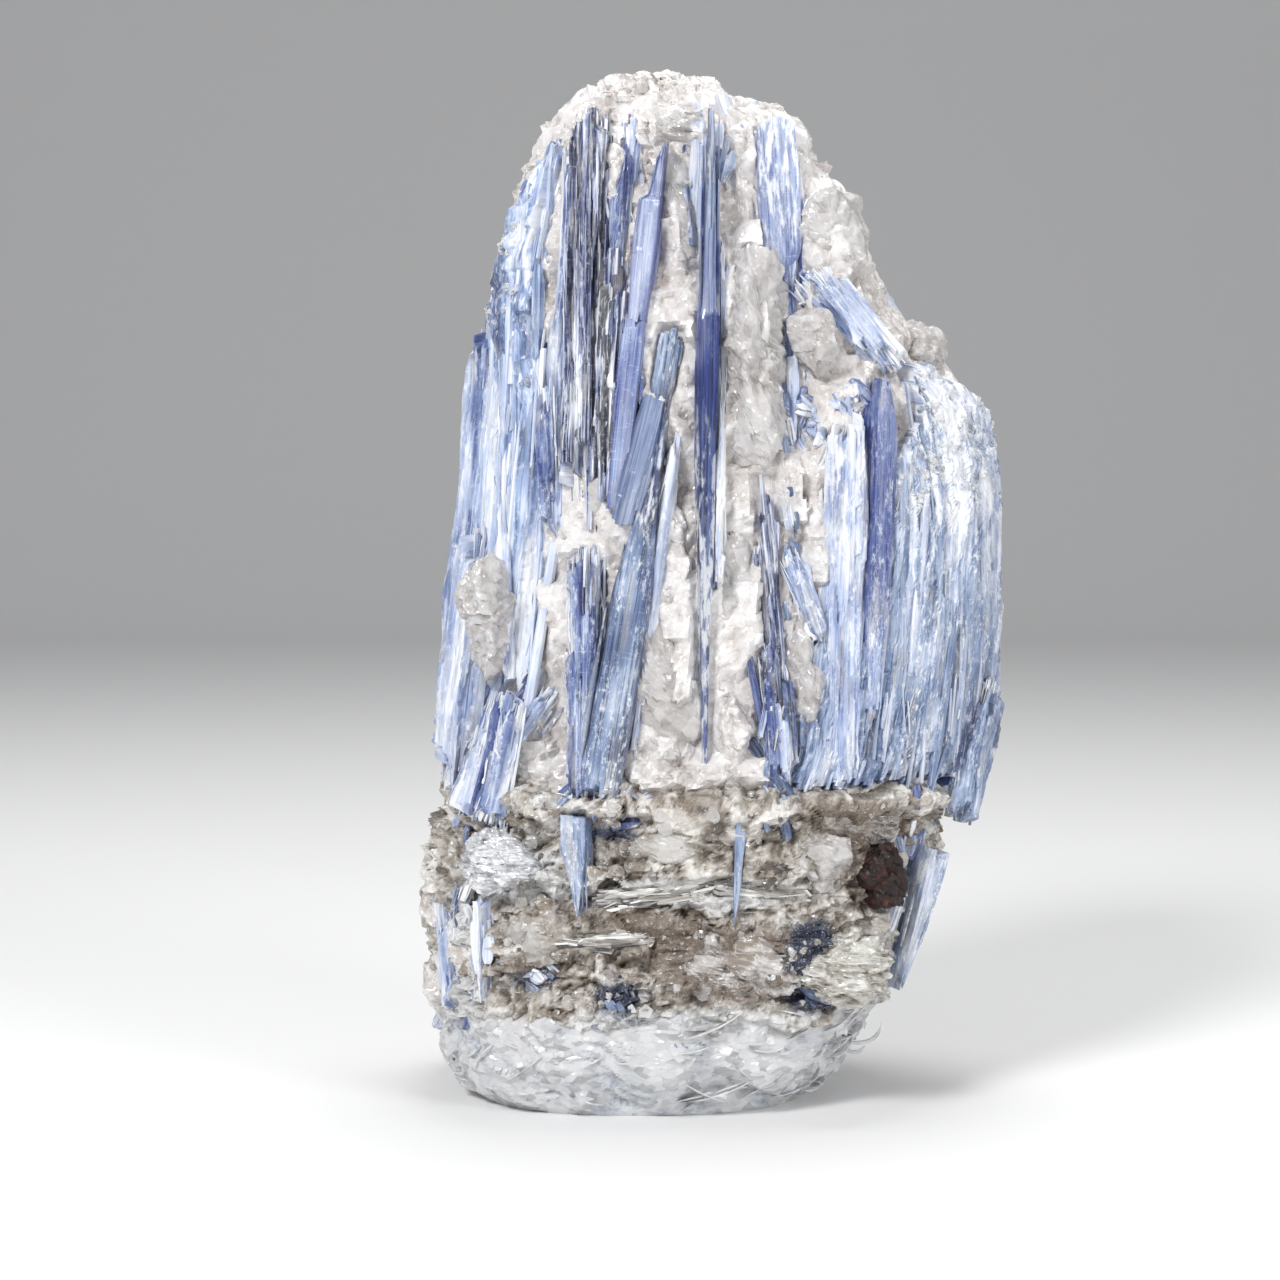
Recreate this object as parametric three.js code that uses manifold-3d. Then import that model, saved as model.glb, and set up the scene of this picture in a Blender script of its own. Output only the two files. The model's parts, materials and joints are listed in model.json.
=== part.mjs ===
// Kyanite blade cluster: sheaves and single blades of blue kyanite grown through massive quartz,
// standing on a foot of mica schist that ends in a flat, flaky mica base.
// Millimetres, +Z up. The origin is the middle of the resting face's box; -Y is the show face.
import * as THREE from "three";
import Module from "manifold-3d";
import { mergeVertices } from "three/addons/utils/BufferGeometryUtils.js";

const clusterHeight = 105; // rest face to the top of the quartz crest
const seatGap = 0.3; // clear joint left between two crystals that meet
const schistTop = 30.5; // where the quartz body gives way to mica schist
const micaTop = 9.5; // where the schist gives way to the mica base
const rockSides = 26; // facets round the rock body
const rockGrain = 0.55; // how far its facets wander from the smooth outline

// Outline of the rock body without its sheaves: each course gives a height, then how far it reaches
// to the left (-X), right (+X), front (-Y) and back (+Y).
const rockOutline = [
  { z: 0, left: -24.5, right: 9.5, front: -15.5, back: 15.5 },
  { z: 2.5, left: -26.8, right: 12.5, front: -17.5, back: 17 },
  { z: 5, left: -28.4, right: 15, front: -19, back: 18.5 },
  { z: 14, left: -29.2, right: 19.4, front: -20.2, back: 19.6 },
  { z: 22, left: -30.4, right: 22, front: -20.4, back: 20 },
  { z: 27, left: -29, right: 23.6, front: -19.6, back: 19.8 },
  { z: 31, left: -27.4, right: 24.6, front: -18, back: 20 },
  { z: 36, left: -25.8, right: 26, front: -15.6, back: 19.6 },
  { z: 48, left: -24.4, right: 27.6, front: -14.4, back: 19 },
  { z: 60, left: -22.8, right: 27.8, front: -14.2, back: 18.2 },
  { z: 70, left: -21.8, right: 26, front: -14.2, back: 17 },
  { z: 75.5, left: -21.6, right: 22, front: -14, back: 16.4 },
  { z: 80, left: -21.4, right: 17.4, front: -13.6, back: 15.6 },
  { z: 86, left: -20.6, right: 14.6, front: -12.8, back: 14.4 },
  { z: 92, left: -19, right: 11.8, front: -11.8, back: 13.2 },
  { z: 97.6, left: -16.8, right: 9, front: -10.4, back: 11.8 },
  { z: 99.6, left: -15.6, right: 4.6, front: -9.2, back: 10.8 },
  { z: 103, left: -12.6, right: 2.4, front: -7.4, back: 8.6 },
  { z: clusterHeight, left: -9.8, right: -0.6, front: -4.4, back: 5.4 },
];

const colours = {
  quartz: { color: 0xd3cdc6, roughness: 0.35, metalness: 0 },
  schist: { color: 0x9c9388, roughness: 0.6, metalness: 0 },
  mica: { color: 0xd9dcdf, roughness: 0.25, metalness: 0.1 },
  paleKyanite: { color: 0xa9bbdc, roughness: 0.4, metalness: 0 },
  blueKyanite: { color: 0x4a63a8, roughness: 0.3, metalness: 0 },
  darkKyanite: { color: 0x3b4664, roughness: 0.4, metalness: 0 },
  garnet: { color: 0x4a2318, roughness: 0.5, metalness: 0 },
};

// Single blades. foot and top are the ends of a blade's middle line; turn is the angle, about that
// line, from +X to its flat width; tip and root are the shares of the width left at each end; slant
// is how far the broken ends run up across the width.
const blades = [
  {
    name: "central_blade", kind: "blueKyanite",
    foot: [-1.2, -15.6, 35.5], top: [-0.6, -15.2, 97],
    width: 2.3, thickness: 5.4, turn: 8, tip: 0.5, root: 0.45, slant: 1.5,
  },
  {
    name: "pointed_blade", kind: "blueKyanite",
    foot: [-7.9, -15.6, 78.3], top: [-6, -14.6, 95.4],
    width: 3, thickness: 3.4, turn: -12, tip: 0.18, root: 0.8, slant: 0,
  },
  {
    name: "pointed_blade_root", kind: "blueKyanite",
    foot: [-9.7, -15.6, 60.5], top: [-8.1, -15.6, 77.9],
    width: 2.6, thickness: 3.2, turn: -12, tip: 0.9, root: 0.5, slant: 0.6,
  },
  {
    name: "steel_stub_blade", kind: "darkKyanite",
    foot: [-5.4, -14.6, 70.3], top: [-4.3, -14.6, 77.4],
    width: 2.5, thickness: 3, turn: 10, tip: 0.9, root: 0.8, slant: 0.3,
  },
  {
    name: "pale_middle_blade", kind: "paleKyanite",
    foot: [-8.5, -16.4, 58.6], top: [-6.1, -15.8, 70.2],
    width: 2.7, thickness: 2.6, turn: -6, tip: 0.85, root: 0.9, slant: 0.5,
  },
  {
    name: "wide_blade", kind: "darkKyanite",
    foot: [-10.9, -17, 32.4], top: [-4.9, -15.2, 70],
    width: 4.6, thickness: 4, turn: -6, tip: 0.3, root: 0.95, slant: 0.8,
  },
  {
    name: "upper_right_blade", kind: "paleKyanite",
    foot: [7.2, -12.4, 64.2], top: [5.6, -9.6, 97.4],
    width: 4.4, thickness: 4.4, turn: 14, tip: 0.75, root: 0.3, slant: 0.6,
  },
  {
    name: "upper_centre_lath", kind: "paleKyanite",
    foot: [-2.4, -12.8, 84.5], top: [-1.9, -12, 95.6],
    width: 1.7, thickness: 2.4, turn: 20, tip: 0.5, root: 0.6, slant: 0.4,
  },
  {
    name: "deep_blue_blade", kind: "blueKyanite",
    foot: [14.9, -14.6, 40.5], top: [16.2, -13.4, 72.2],
    width: 3.1, thickness: 4.2, turn: 16, tip: 0.5, root: 0.8, slant: 0.6,
  },
  {
    name: "right_foot_blade", kind: "darkKyanite",
    foot: [18.3, -10.6, 12.6], top: [21.4, -10.4, 25.4],
    width: 2.8, thickness: 4.4, turn: 46, tip: 0.7, root: 0.4, slant: 0.4,
  },
  {
    name: "foot_stub_blade", kind: "darkKyanite",
    foot: [-13.4, -18.6, 21.4], top: [-13.6, -18.2, 29.4],
    width: 2.7, thickness: 3.6, turn: 4, tip: 0.9, root: 0.35, slant: 0.4,
  },
  {
    name: "foot_thin_blade", kind: "paleKyanite",
    foot: [1.7, -18.4, 19.8], top: [2.2, -18, 29.2],
    width: 1.5, thickness: 3.4, turn: -4, tip: 0.6, root: 0.4, slant: 0.3,
  },
  {
    name: "foot_slip_blade", kind: "paleKyanite",
    foot: [-22.9, -15.4, 12.4], top: [-23.2, -15.2, 20.6],
    width: 1.7, thickness: 3.4, turn: -34, tip: 0.7, root: 0.7, slant: 0.3,
  },
  {
    name: "back_long_blade", kind: "blueKyanite",
    foot: [-6.5, 17.6, 33.5], top: [-4.4, 13.2, 92.5],
    width: 3.4, thickness: 4.8, turn: 184, tip: 0.4, root: 0.8, slant: 0.6,
  },
  {
    name: "back_cross_blade", kind: "darkKyanite",
    foot: [15.6, 15.6, 33.5], top: [9.4, 14.2, 66.5],
    width: 3.2, thickness: 4.2, turn: 158, tip: 0.5, root: 0.8, slant: 0.5,
  },
];

// Sheaves: blades side by side that have grown into one solid. rows is how many blades lie across the
// width, bow how far the outer ones curve back from the middle ones, fan how much the feet spread.
const sheaves = [
  {
    name: "left_sheaf", kind: "paleKyanite",
    foot: [-17.8, -15, 32.2], top: [-18.8, -13.2, 88],
    width: 8.4, thickness: 6.4, turn: -20, rows: 4, tip: 0.55, root: 0.9, bow: 2, fan: 0.1, seed: 3,
  },
  {
    name: "dark_bundle", kind: "darkKyanite",
    foot: [-12.9, -14.2, 57.5], top: [-12.2, -11.6, 99.4],
    width: 5.6, thickness: 4.4, turn: -10, rows: 4, tip: 0.5, root: 0.6, bow: 0.8, fan: 0, seed: 11,
  },
  {
    name: "slim_top_blades", kind: "blueKyanite",
    foot: [-10, -13.2, 79.2], top: [-8.2, -10.4, 99.8],
    width: 2.6, thickness: 3.6, turn: -4, rows: 2, tip: 0.5, root: 0.5, bow: 0.2, fan: 0, seed: 5,
  },
  {
    name: "inner_left_laths", kind: "paleKyanite",
    foot: [-13, -15, 32.6], top: [-12.6, -14.6, 56.8],
    width: 3.4, thickness: 4.6, turn: -4, rows: 3, tip: 0.5, root: 0.8, bow: 0.3, fan: 0, seed: 8,
  },
  {
    name: "lower_left_fan", kind: "paleKyanite",
    foot: [-24.4, -14.4, 30.2], top: [-19, -16.2, 43.6],
    width: 5.4, thickness: 4, turn: -28, rows: 3, tip: 0.4, root: 0.9, bow: 0.8, fan: 0.2, seed: 14,
  },
  {
    name: "left_edge_blades", kind: "paleKyanite",
    foot: [-26.6, -7.6, 32], top: [-23.6, -6.8, 58.4],
    width: 7.4, thickness: 3.4, turn: -74, rows: 3, tip: 0.4, root: 0.8, bow: 0.6, fan: 0.1, seed: 21,
  },
  {
    name: "diagonal_laths", kind: "paleKyanite",
    foot: [16.6, -10.4, 74.8], top: [8.6, -12.2, 83.4],
    width: 2.8, thickness: 4, turn: 24, rows: 2, tip: 0.5, root: 0.9, bow: 0.2, fan: 0, seed: 19,
  },
  {
    name: "middle_dark_laths", kind: "darkKyanite",
    foot: [6.8, -14.4, 32.6], top: [4.4, -13.6, 64.2],
    width: 3, thickness: 4, turn: 6, rows: 2, tip: 0.4, root: 0.8, bow: 0.2, fan: 0, seed: 23,
  },
  {
    name: "white_sheaf", kind: "paleKyanite",
    foot: [11.6, -14, 32.4], top: [12.4, -13.2, 70.6],
    width: 4.4, thickness: 5, turn: 8, rows: 3, tip: 0.5, root: 0.8, bow: 0.2, fan: 0, seed: 27,
  },
  {
    name: "right_sheaf", kind: "paleKyanite",
    foot: [22.4, -7.6, 31.2], top: [23.4, -6.6, 72.8],
    width: 15, thickness: 7.4, turn: 36, rows: 5, tip: 0.75, root: 0.9, bow: 2.6, fan: 0.04, seed: 31,
  },
  {
    name: "right_edge_blades", kind: "paleKyanite",
    foot: [28.6, 5.2, 34.5], top: [28, 4.4, 68.4],
    width: 10, thickness: 4, turn: 98, rows: 4, tip: 0.5, root: 0.7, bow: 0.8, fan: 0, seed: 37,
  },
  {
    name: "lower_right_blades", kind: "paleKyanite",
    foot: [25, -8.4, 28.4], top: [28.2, -6.2, 43],
    width: 4.4, thickness: 3.2, turn: 40, rows: 2, tip: 0.5, root: 0.7, bow: 0.3, fan: 0, seed: 41,
  },
  {
    name: "back_left_sheaf", kind: "paleKyanite",
    foot: [-18.4, 15.4, 32.4], top: [-14.8, 12.4, 83],
    width: 11.6, thickness: 6, turn: 214, rows: 4, tip: 0.5, root: 0.9, bow: 2, fan: 0.1, seed: 45,
  },
  {
    name: "back_right_sheaf", kind: "blueKyanite",
    foot: [5, 18, 34], top: [5.4, 15.4, 80],
    width: 7.6, thickness: 5, turn: 178, rows: 3, tip: 0.5, root: 0.8, bow: 0.8, fan: 0, seed: 49,
  },
];

// Rounded bodies: a lump's reach is its half-size to the side, in depth and in height.
const lumps = [
  {
    name: "garnet", kind: "garnet",
    at: [16.2, -15.4, 23.6], reach: [2.2, 2.6, 3.2], grain: 0.16, seed: 2,
  },
  {
    name: "silver_mica_book", kind: "mica",
    at: [-21.2, -15.6, 25.4], reach: [4.6, 3.8, 2.9], grain: 0.18, seed: 6,
  },
  {
    name: "layered_mica_book", kind: "mica",
    at: [12.6, -15.8, 14.4], reach: [4, 3.6, 3.6], grain: 0.18, seed: 9,
  },
  {
    name: "centre_quartz_lump", kind: "quartz",
    at: [3.4, -13.2, 74], reach: [3.5, 4, 11.6], grain: 0.14, seed: 12,
  },
  {
    name: "upper_right_quartz", kind: "quartz",
    at: [11.2, -8.4, 87.2], reach: [3.6, 4.4, 5.6], grain: 0.14, seed: 17,
  },
  {
    name: "left_quartz_lump", kind: "quartz",
    at: [-22.6, -11.6, 49.4], reach: [2.5, 3.4, 5.6], grain: 0.12, seed: 22,
  },
  {
    name: "shoulder_quartz", kind: "quartz",
    at: [20.4, -3.6, 76], reach: [3.4, 3.6, 3.2], grain: 0.16, seed: 26,
  },
];

const wasm = await Module();
wasm.setup();

// A repeatable stream of numbers from 0 to 1.
function numbersFrom(seed) {
  let state = seed * 7919 + 17;
  return () => {
    state = (state * 16807) % 2147483647;
    return state / 2147483647;
  };
}

// A closed geometry, moved by a matrix, as a solid.
function toSolid(geometry, matrix = new THREE.Matrix4()) {
  const bare = new THREE.BufferGeometry();
  bare.setAttribute("position", geometry.getAttribute("position").clone());
  bare.setIndex(geometry.index);
  bare.applyMatrix4(matrix);
  const merged = mergeVertices(bare, 1e-4);
  return new wasm.Manifold(
    new wasm.Mesh({
      numProp: 3,
      vertProperties: merged.getAttribute("position").array,
      triVerts: new Uint32Array(merged.index.array),
    }),
  );
}

// A solid as a flat-shaded geometry, moved by a matrix.
function toGeometry(solid, matrix) {
  const { vertProperties, triVerts } = solid.getMesh();
  const indexed = new THREE.BufferGeometry();
  indexed.setAttribute("position", new THREE.BufferAttribute(vertProperties, 3));
  indexed.setIndex(new THREE.BufferAttribute(triVerts, 1));
  indexed.applyMatrix4(matrix);
  const flat = indexed.toNonIndexed();
  flat.computeVertexNormals();
  return flat;
}

function largestBody(solid) {
  return solid.decompose().reduce((most, body) => (body.volume() > most.volume() ? body : most));
}

// Moves each vertex of a geometry to where shape(vertex) says.
function reshape(geometry, shape) {
  const position = geometry.getAttribute("position");
  const vertex = new THREE.Vector3();
  for (let i = 0; i < position.count; i += 1) {
    vertex.fromBufferAttribute(position, i);
    shape(vertex);
    position.setXYZ(i, vertex.x, vertex.y, vertex.z);
  }
  return geometry;
}

// Outlines of a blade's section: a lone blade is a flattened hexagon, a blade in a sheaf a leaning
// four-sided one, as the crystal's cleavages make it.
function bladeSection(halfWidth, halfThickness, inSheaf) {
  const flat = 0.76 * halfWidth;
  const leaning = [
    [-halfWidth, -halfThickness],
    [flat, -halfThickness],
    [halfWidth, halfThickness],
    [-flat, halfThickness],
  ];
  const hexagon = [
    [-halfWidth, 0],
    [-flat, -halfThickness],
    [flat, -halfThickness],
    [halfWidth, 0],
    [flat, halfThickness],
    [-flat, halfThickness],
  ];
  return new THREE.Shape((inSheaf ? leaning : hexagon).map(([x, y]) => new THREE.Vector2(x, y)));
}

// A blade along +Z from the origin: a prism that narrows towards both ends, where it is broken
// across at a slant. grow makes it thicker and longer all round.
function bladeGeometry({ length, width, thickness, tip, root, slant, inSheaf = false }, grow = 0) {
  const [halfWidth, halfThickness] = [width / 2 + grow, thickness / 2 + grow];
  const section = bladeSection(halfWidth, halfThickness, inSheaf);
  const steps = inSheaf ? 2 : 4;
  const depth = length + 2 * grow;
  const prism = new THREE.ExtrudeGeometry(section, { depth, steps, bevelEnabled: false });
  const fullFrom = 1 / steps; // the blade has its full width between these shares of its length
  const fullTo = 1 - fullFrom;
  return reshape(prism, (vertex) => {
    const along = vertex.z / depth;
    let share = 1;
    if (along < fullFrom) share = THREE.MathUtils.lerp(root, 1, along / fullFrom);
    if (along > fullTo) share = THREE.MathUtils.lerp(1, tip, (along - fullTo) / (1 - fullTo));
    const across = vertex.x / halfWidth;
    vertex.x *= share;
    vertex.y *= 0.5 + 0.5 * share;
    vertex.z += slant * across * (2 * along - 1) - grow;
  });
}

// Turns +Z to run from foot to top, then turns the width by an angle about that line.
function standing(foot, top, turn) {
  const from = new THREE.Vector3(...foot);
  const line = new THREE.Vector3(...top).sub(from);
  const length = line.length();
  const upright = new THREE.Vector3(0, 0, 1);
  const rotation = new THREE.Quaternion()
    .setFromUnitVectors(upright, line.normalize())
    .multiply(new THREE.Quaternion().setFromAxisAngle(upright, THREE.MathUtils.degToRad(turn)));
  return { position: from, rotation, length };
}

// Blades side by side along +Z, each with its own width, reach and depth, grown into one solid.
function sheafSolid({ length, width, thickness, rows, tip, root, bow, fan, seed }, grow = 0) {
  const random = numbersFrom(seed);
  const pitch = width / rows;
  let sheaf = null;
  for (let row = 0; row < rows; row += 1) {
    const side = rows > 1 ? (2 * row) / (rows - 1) - 1 : 0; // -1 at one edge, 1 at the other
    const lath = {
      width: pitch * (1.35 + 0.3 * random()),
      thickness: thickness * (0.8 + 0.2 * random()),
      tip: tip * (0.7 + 0.5 * random()),
      root: Math.min(1, root * (0.85 + 0.3 * random())),
      slant: 0.6 * random(),
      inSheaf: true,
    };
    const start = length * 0.05 * random() * Math.abs(side);
    const end = length * (1 - 0.14 * random() * (0.3 + 0.7 * Math.abs(side)));
    const lean = new THREE.Matrix4().makeRotationY(-fan * side);
    const place = new THREE.Matrix4().makeTranslation(
      side * (width / 2 - lath.width / 2) * (1 + fan),
      bow * side * side + (random() - 0.5) * thickness * 0.16,
      start,
    );
    const one = toSolid(bladeGeometry({ ...lath, length: end - start }, grow), place.multiply(lean));
    sheaf = sheaf ? sheaf.add(one) : one;
  }
  return sheaf;
}

// A lump: a many-sided ball stretched to its reach, with each corner pushed in or out.
function lumpGeometry({ reach, grain, seed }, grow = 0) {
  const bare = new THREE.BufferGeometry();
  bare.setAttribute("position", new THREE.IcosahedronGeometry(1, 1).getAttribute("position"));
  const ball = mergeVertices(bare, 1e-4);
  const random = numbersFrom(seed);
  return reshape(ball, (vertex) => {
    const share = 1 - grain * random();
    vertex.set(
      vertex.x * share * (reach[0] + grow),
      vertex.y * share * (reach[1] + grow),
      vertex.z * share * (reach[2] + grow),
    );
  });
}

// The whole rock: a squarish oval section at each course, its facets wandering by rockGrain. The
// resting face and the courses next to it stay true, so that it stands flat.
function rockGeometry() {
  const courses = rockOutline.length - 1;
  const column = new THREE.CylinderGeometry(1, 1, courses, rockSides, courses);
  column.rotateX(Math.PI / 2);
  column.translate(0, 0, courses / 2);
  const squareness = 0.8; // 1 is an oval, less is squarer
  return reshape(column, (vertex) => {
    const { z, left, right, front, back } = rockOutline[Math.round(vertex.z)];
    const angle = Math.atan2(vertex.y, vertex.x);
    const out = Math.min(1, Math.hypot(vertex.x, vertex.y));
    const swell = (value) => Math.sign(value) * Math.abs(value) ** squareness * out;
    const wander = Math.sin(5 * angle + 0.31 * z) + Math.sin(11 * angle - 0.47 * z) + Math.sin(0.9 * z);
    const settled = Math.min(1, z / 4) * Math.min(1, (clusterHeight - z) / 6);
    const grain = (rockGrain * wander * settled * out) / 2;
    vertex.x = (left + right) / 2 + swell(Math.cos(angle)) * ((right - left) / 2 + grain);
    vertex.y = (front + back) / 2 + swell(Math.sin(angle)) * ((back - front) / 2 + grain);
    vertex.z = z;
  });
}

// A block wider than the rock, from below its rest face up to an uneven level, for parting the rock.
function partingBlock(level, unevenness) {
  const reach = 90;
  const block = new THREE.BoxGeometry(reach, reach, level + 10, 8, 8, 1);
  block.translate(0, 0, level / 2 - 5);
  return toSolid(
    reshape(block, (vertex) => {
      if (vertex.z < level - 1) return;
      vertex.z += unevenness * (Math.sin(0.35 * vertex.x + 1) + Math.sin(0.3 * vertex.y - 0.25 * vertex.x));
    }),
  );
}

const cluster = new THREE.Group();
const seated = []; // what has its place already, each grown by the seat gap

// Adds a piece to the cluster: it keeps clear of what is seated already, and later pieces keep clear
// of it.
function seat(name, kind, { position, rotation }, solidAt) {
  const place = new THREE.Matrix4().compose(position, rotation, new THREE.Vector3(1, 1, 1));
  const shape = seated.reduce((left, other) => left.subtract(other), solidAt(0, place));
  const geometry = toGeometry(largestBody(shape), place.clone().invert());
  const material = new THREE.MeshStandardMaterial({ ...colours[kind], flatShading: true });
  const mesh = new THREE.Mesh(geometry, material);
  mesh.name = name;
  mesh.position.copy(position);
  mesh.quaternion.copy(rotation);
  cluster.add(mesh);
  seated.push(solidAt(seatGap, place));
}

for (const blade of blades) {
  const stand = standing(blade.foot, blade.top, blade.turn);
  const size = { ...blade, length: stand.length };
  seat(blade.name, blade.kind, stand, (grow, place) => toSolid(bladeGeometry(size, grow), place));
}

for (const sheaf of sheaves) {
  const stand = standing(sheaf.foot, sheaf.top, sheaf.turn);
  const size = { ...sheaf, length: stand.length };
  seat(sheaf.name, sheaf.kind, stand, (grow, place) => sheafSolid(size, grow).transform(place.toArray()));
}

for (const lump of lumps) {
  const stand = { position: new THREE.Vector3(...lump.at), rotation: new THREE.Quaternion() };
  seat(lump.name, lump.kind, stand, (grow, place) => toSolid(lumpGeometry(lump, grow), place));
}

// The rock comes last: parted at two uneven levels into mica base, schist foot and quartz body, and
// cut back from every crystal that sits in it.
const rock = toSolid(rockGeometry());
const schistBelow = partingBlock(schistTop, 0.8);
const micaBelow = partingBlock(micaTop, 0.7);
const lift = new THREE.Vector3(0, 0, seatGap);
const atOrigin = { position: new THREE.Vector3(), rotation: new THREE.Quaternion() };
const quartz = rock.subtract(schistBelow.translate(lift.toArray()));
const schist = rock.intersect(schistBelow).subtract(micaBelow.translate(lift.toArray()));
const layers = [
  { name: "quartz_body", kind: "quartz", solid: quartz },
  { name: "schist_foot", kind: "schist", solid: schist },
  { name: "mica_base", kind: "mica", solid: rock.intersect(micaBelow) },
];
const crystals = [...seated];
for (const { name, kind, solid } of layers) {
  seated.length = 0;
  seated.push(...crystals);
  seat(name, kind, atOrigin, () => solid);
}

export default cluster;
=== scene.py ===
# Kyanite blade cluster: blue and white kyanite grown through quartz, on a mica schist foot.
import json
import bpy
import numpy as np
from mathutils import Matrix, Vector


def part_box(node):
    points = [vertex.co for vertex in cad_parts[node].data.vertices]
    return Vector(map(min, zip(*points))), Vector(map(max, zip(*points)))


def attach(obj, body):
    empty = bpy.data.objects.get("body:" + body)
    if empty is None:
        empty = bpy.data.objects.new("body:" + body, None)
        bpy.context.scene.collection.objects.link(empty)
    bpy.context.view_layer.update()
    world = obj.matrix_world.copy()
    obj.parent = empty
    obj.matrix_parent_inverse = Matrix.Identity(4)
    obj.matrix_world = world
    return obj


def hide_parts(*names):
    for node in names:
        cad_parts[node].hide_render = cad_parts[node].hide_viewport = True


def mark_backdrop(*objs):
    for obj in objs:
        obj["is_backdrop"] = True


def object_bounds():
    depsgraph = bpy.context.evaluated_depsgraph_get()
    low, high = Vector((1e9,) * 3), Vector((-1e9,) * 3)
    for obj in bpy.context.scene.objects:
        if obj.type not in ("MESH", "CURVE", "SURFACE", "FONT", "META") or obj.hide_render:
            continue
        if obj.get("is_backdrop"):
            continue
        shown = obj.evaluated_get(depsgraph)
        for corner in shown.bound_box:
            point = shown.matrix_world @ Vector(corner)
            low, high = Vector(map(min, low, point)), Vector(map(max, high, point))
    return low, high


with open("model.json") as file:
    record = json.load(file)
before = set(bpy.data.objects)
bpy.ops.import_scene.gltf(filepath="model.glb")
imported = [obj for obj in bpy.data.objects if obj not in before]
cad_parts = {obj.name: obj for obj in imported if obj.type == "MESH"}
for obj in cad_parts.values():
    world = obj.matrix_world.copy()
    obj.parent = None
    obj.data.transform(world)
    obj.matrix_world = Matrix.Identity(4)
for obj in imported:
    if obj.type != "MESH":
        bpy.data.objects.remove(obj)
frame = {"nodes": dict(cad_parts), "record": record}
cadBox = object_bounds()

tallInMm = 105                                      # the cluster stands this high
mm = (cadBox[1].z - cadBox[0].z) / tallInMm         # metres in one of the millimetres used below
lowCorner, highCorner = np.array(cadBox[0]) / mm, np.array(cadBox[1]) / mm


# Noise, all in whole arrays

# A repeatable number from 0 to 1 for each whole-number point: indices times big primes, bits mixed.
def latticeNumber(ix, iy, iz, seed=0):
    h = (ix * 374761393 + iy * 668265263 + iz * 2147483647 + seed * 1013904223) & 0xFFFFFFFF
    h = h.astype(np.uint64)
    for shift, prime in ((15, 2246822519), (13, 3266489917)):
        h = ((h ^ (h >> np.uint64(shift))) * np.uint64(prime)) & np.uint64(0xFFFFFFFF)
    return (h ^ (h >> np.uint64(16))) / 0xFFFFFFFF


# Value noise from -1 to 1: lattice numbers blended along each axis by 3t^2 - 2t^3.
def softNoise(points, seed=0):
    base = np.floor(points).astype(np.int64)
    t = points - base
    t = t * t * (3 - 2 * t)
    total = np.zeros(points.shape[:-1])
    for corner in np.ndindex(2, 2, 2):
        c = np.array(corner)
        weight = np.prod(np.abs(1 - c - t), axis=-1)
        total += weight * latticeNumber(*np.moveaxis(base + c, -1, 0), seed)
    return 2 * total - 1


# softNoise summed at doubled scales, each half as strong as the one before.
def layeredNoise(points, octaves=4, seed=0):
    return sum(softNoise(points * 2**k + 17.3 * k, seed + k) * 0.5**k for k in range(octaves))


# Creased noise from 0 to 1: one minus the size of softNoise, squared, summed at doubled scales.
def creased(points, octaves=4, seed=0):
    ridge = lambda k: (1 - np.abs(softNoise(points * 2**k + 9.1 * k, seed + k))) ** 2
    return sum(ridge(k) * 0.5**k for k in range(octaves)) / (2 - 0.5 ** (octaves - 1))


# Cells round one jittered point in each unit cube: the way from the nearest point, and that cell's own
# three numbers.
def cellNoise(points, seed=0):
    base = np.floor(points).astype(np.int64)
    near = np.full(points.shape[:-1], 9.0)
    offset = np.zeros(points.shape)
    own = np.zeros(points.shape)
    for step in np.ndindex(3, 3, 3):
        cell = base + np.array(step) - 1
        index = np.moveaxis(cell, -1, 0)
        jitter = np.stack([latticeNumber(*index, seed + k) for k in range(3)], -1)
        away = points - (cell + jitter)
        distance = np.linalg.norm(away, axis=-1)
        closer = distance < near
        near = np.where(closer, distance, near)
        offset[closer] = away[closer]
        own[closer] = jitter[closer]
    return offset, own


def smoothStep(low, high, value):
    t = np.clip((value - low) / (high - low), 0, 1)
    return t * t * (3 - 2 * t)


def unit(vectors):
    return vectors / np.maximum(np.linalg.norm(vectors, axis=-1, keepdims=True), 1e-9)


# Meshes

# Triangles of a grid of rows by columns whose last column joins its first.
def ringTriangles(rows, columns):
    r, c = np.meshgrid(np.arange(rows - 1), np.arange(columns), indexing="ij")
    a, b = r * columns + c, r * columns + (c + 1) % columns
    d, e = a + columns, b + columns
    return np.concatenate([np.stack([a, b, e], -1), np.stack([a, e, d], -1)]).reshape(-1, 3)


# Triangles that close one row of a wrapped grid to a single point.
def capTriangles(firstOfRow, columns, tip, upwards):
    c = np.arange(columns)
    a, b = firstOfRow + c, firstOfRow + (c + 1) % columns
    tip = np.full(columns, tip)
    return np.stack([a, b, tip] if upwards else [b, a, tip], -1)


# Triangles of a grid of rings closed at both ends; the two tips follow the grid's own points.
def closedTriangles(rows, columns):
    body = rows * columns
    return np.concatenate([ringTriangles(rows, columns), capTriangles(0, columns, body, False),
                           capTriangles(body - columns, columns, body + 1, True)])


# The same triangles for each of many equal shapes.
def repeated(triangles, count, pointsEach):
    return (np.arange(count)[:, None, None] * pointsEach + triangles[None]).reshape(-1, 3)


# Turns a mesh's faces outwards, judged by the sign of its volume.
def outwards(points, triangles):
    a, b, c = (points[triangles[:, k]] for k in range(3))
    return triangles if np.einsum("ij,ij->", a, np.cross(b, c)) > 0 else triangles[:, ::-1]


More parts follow.
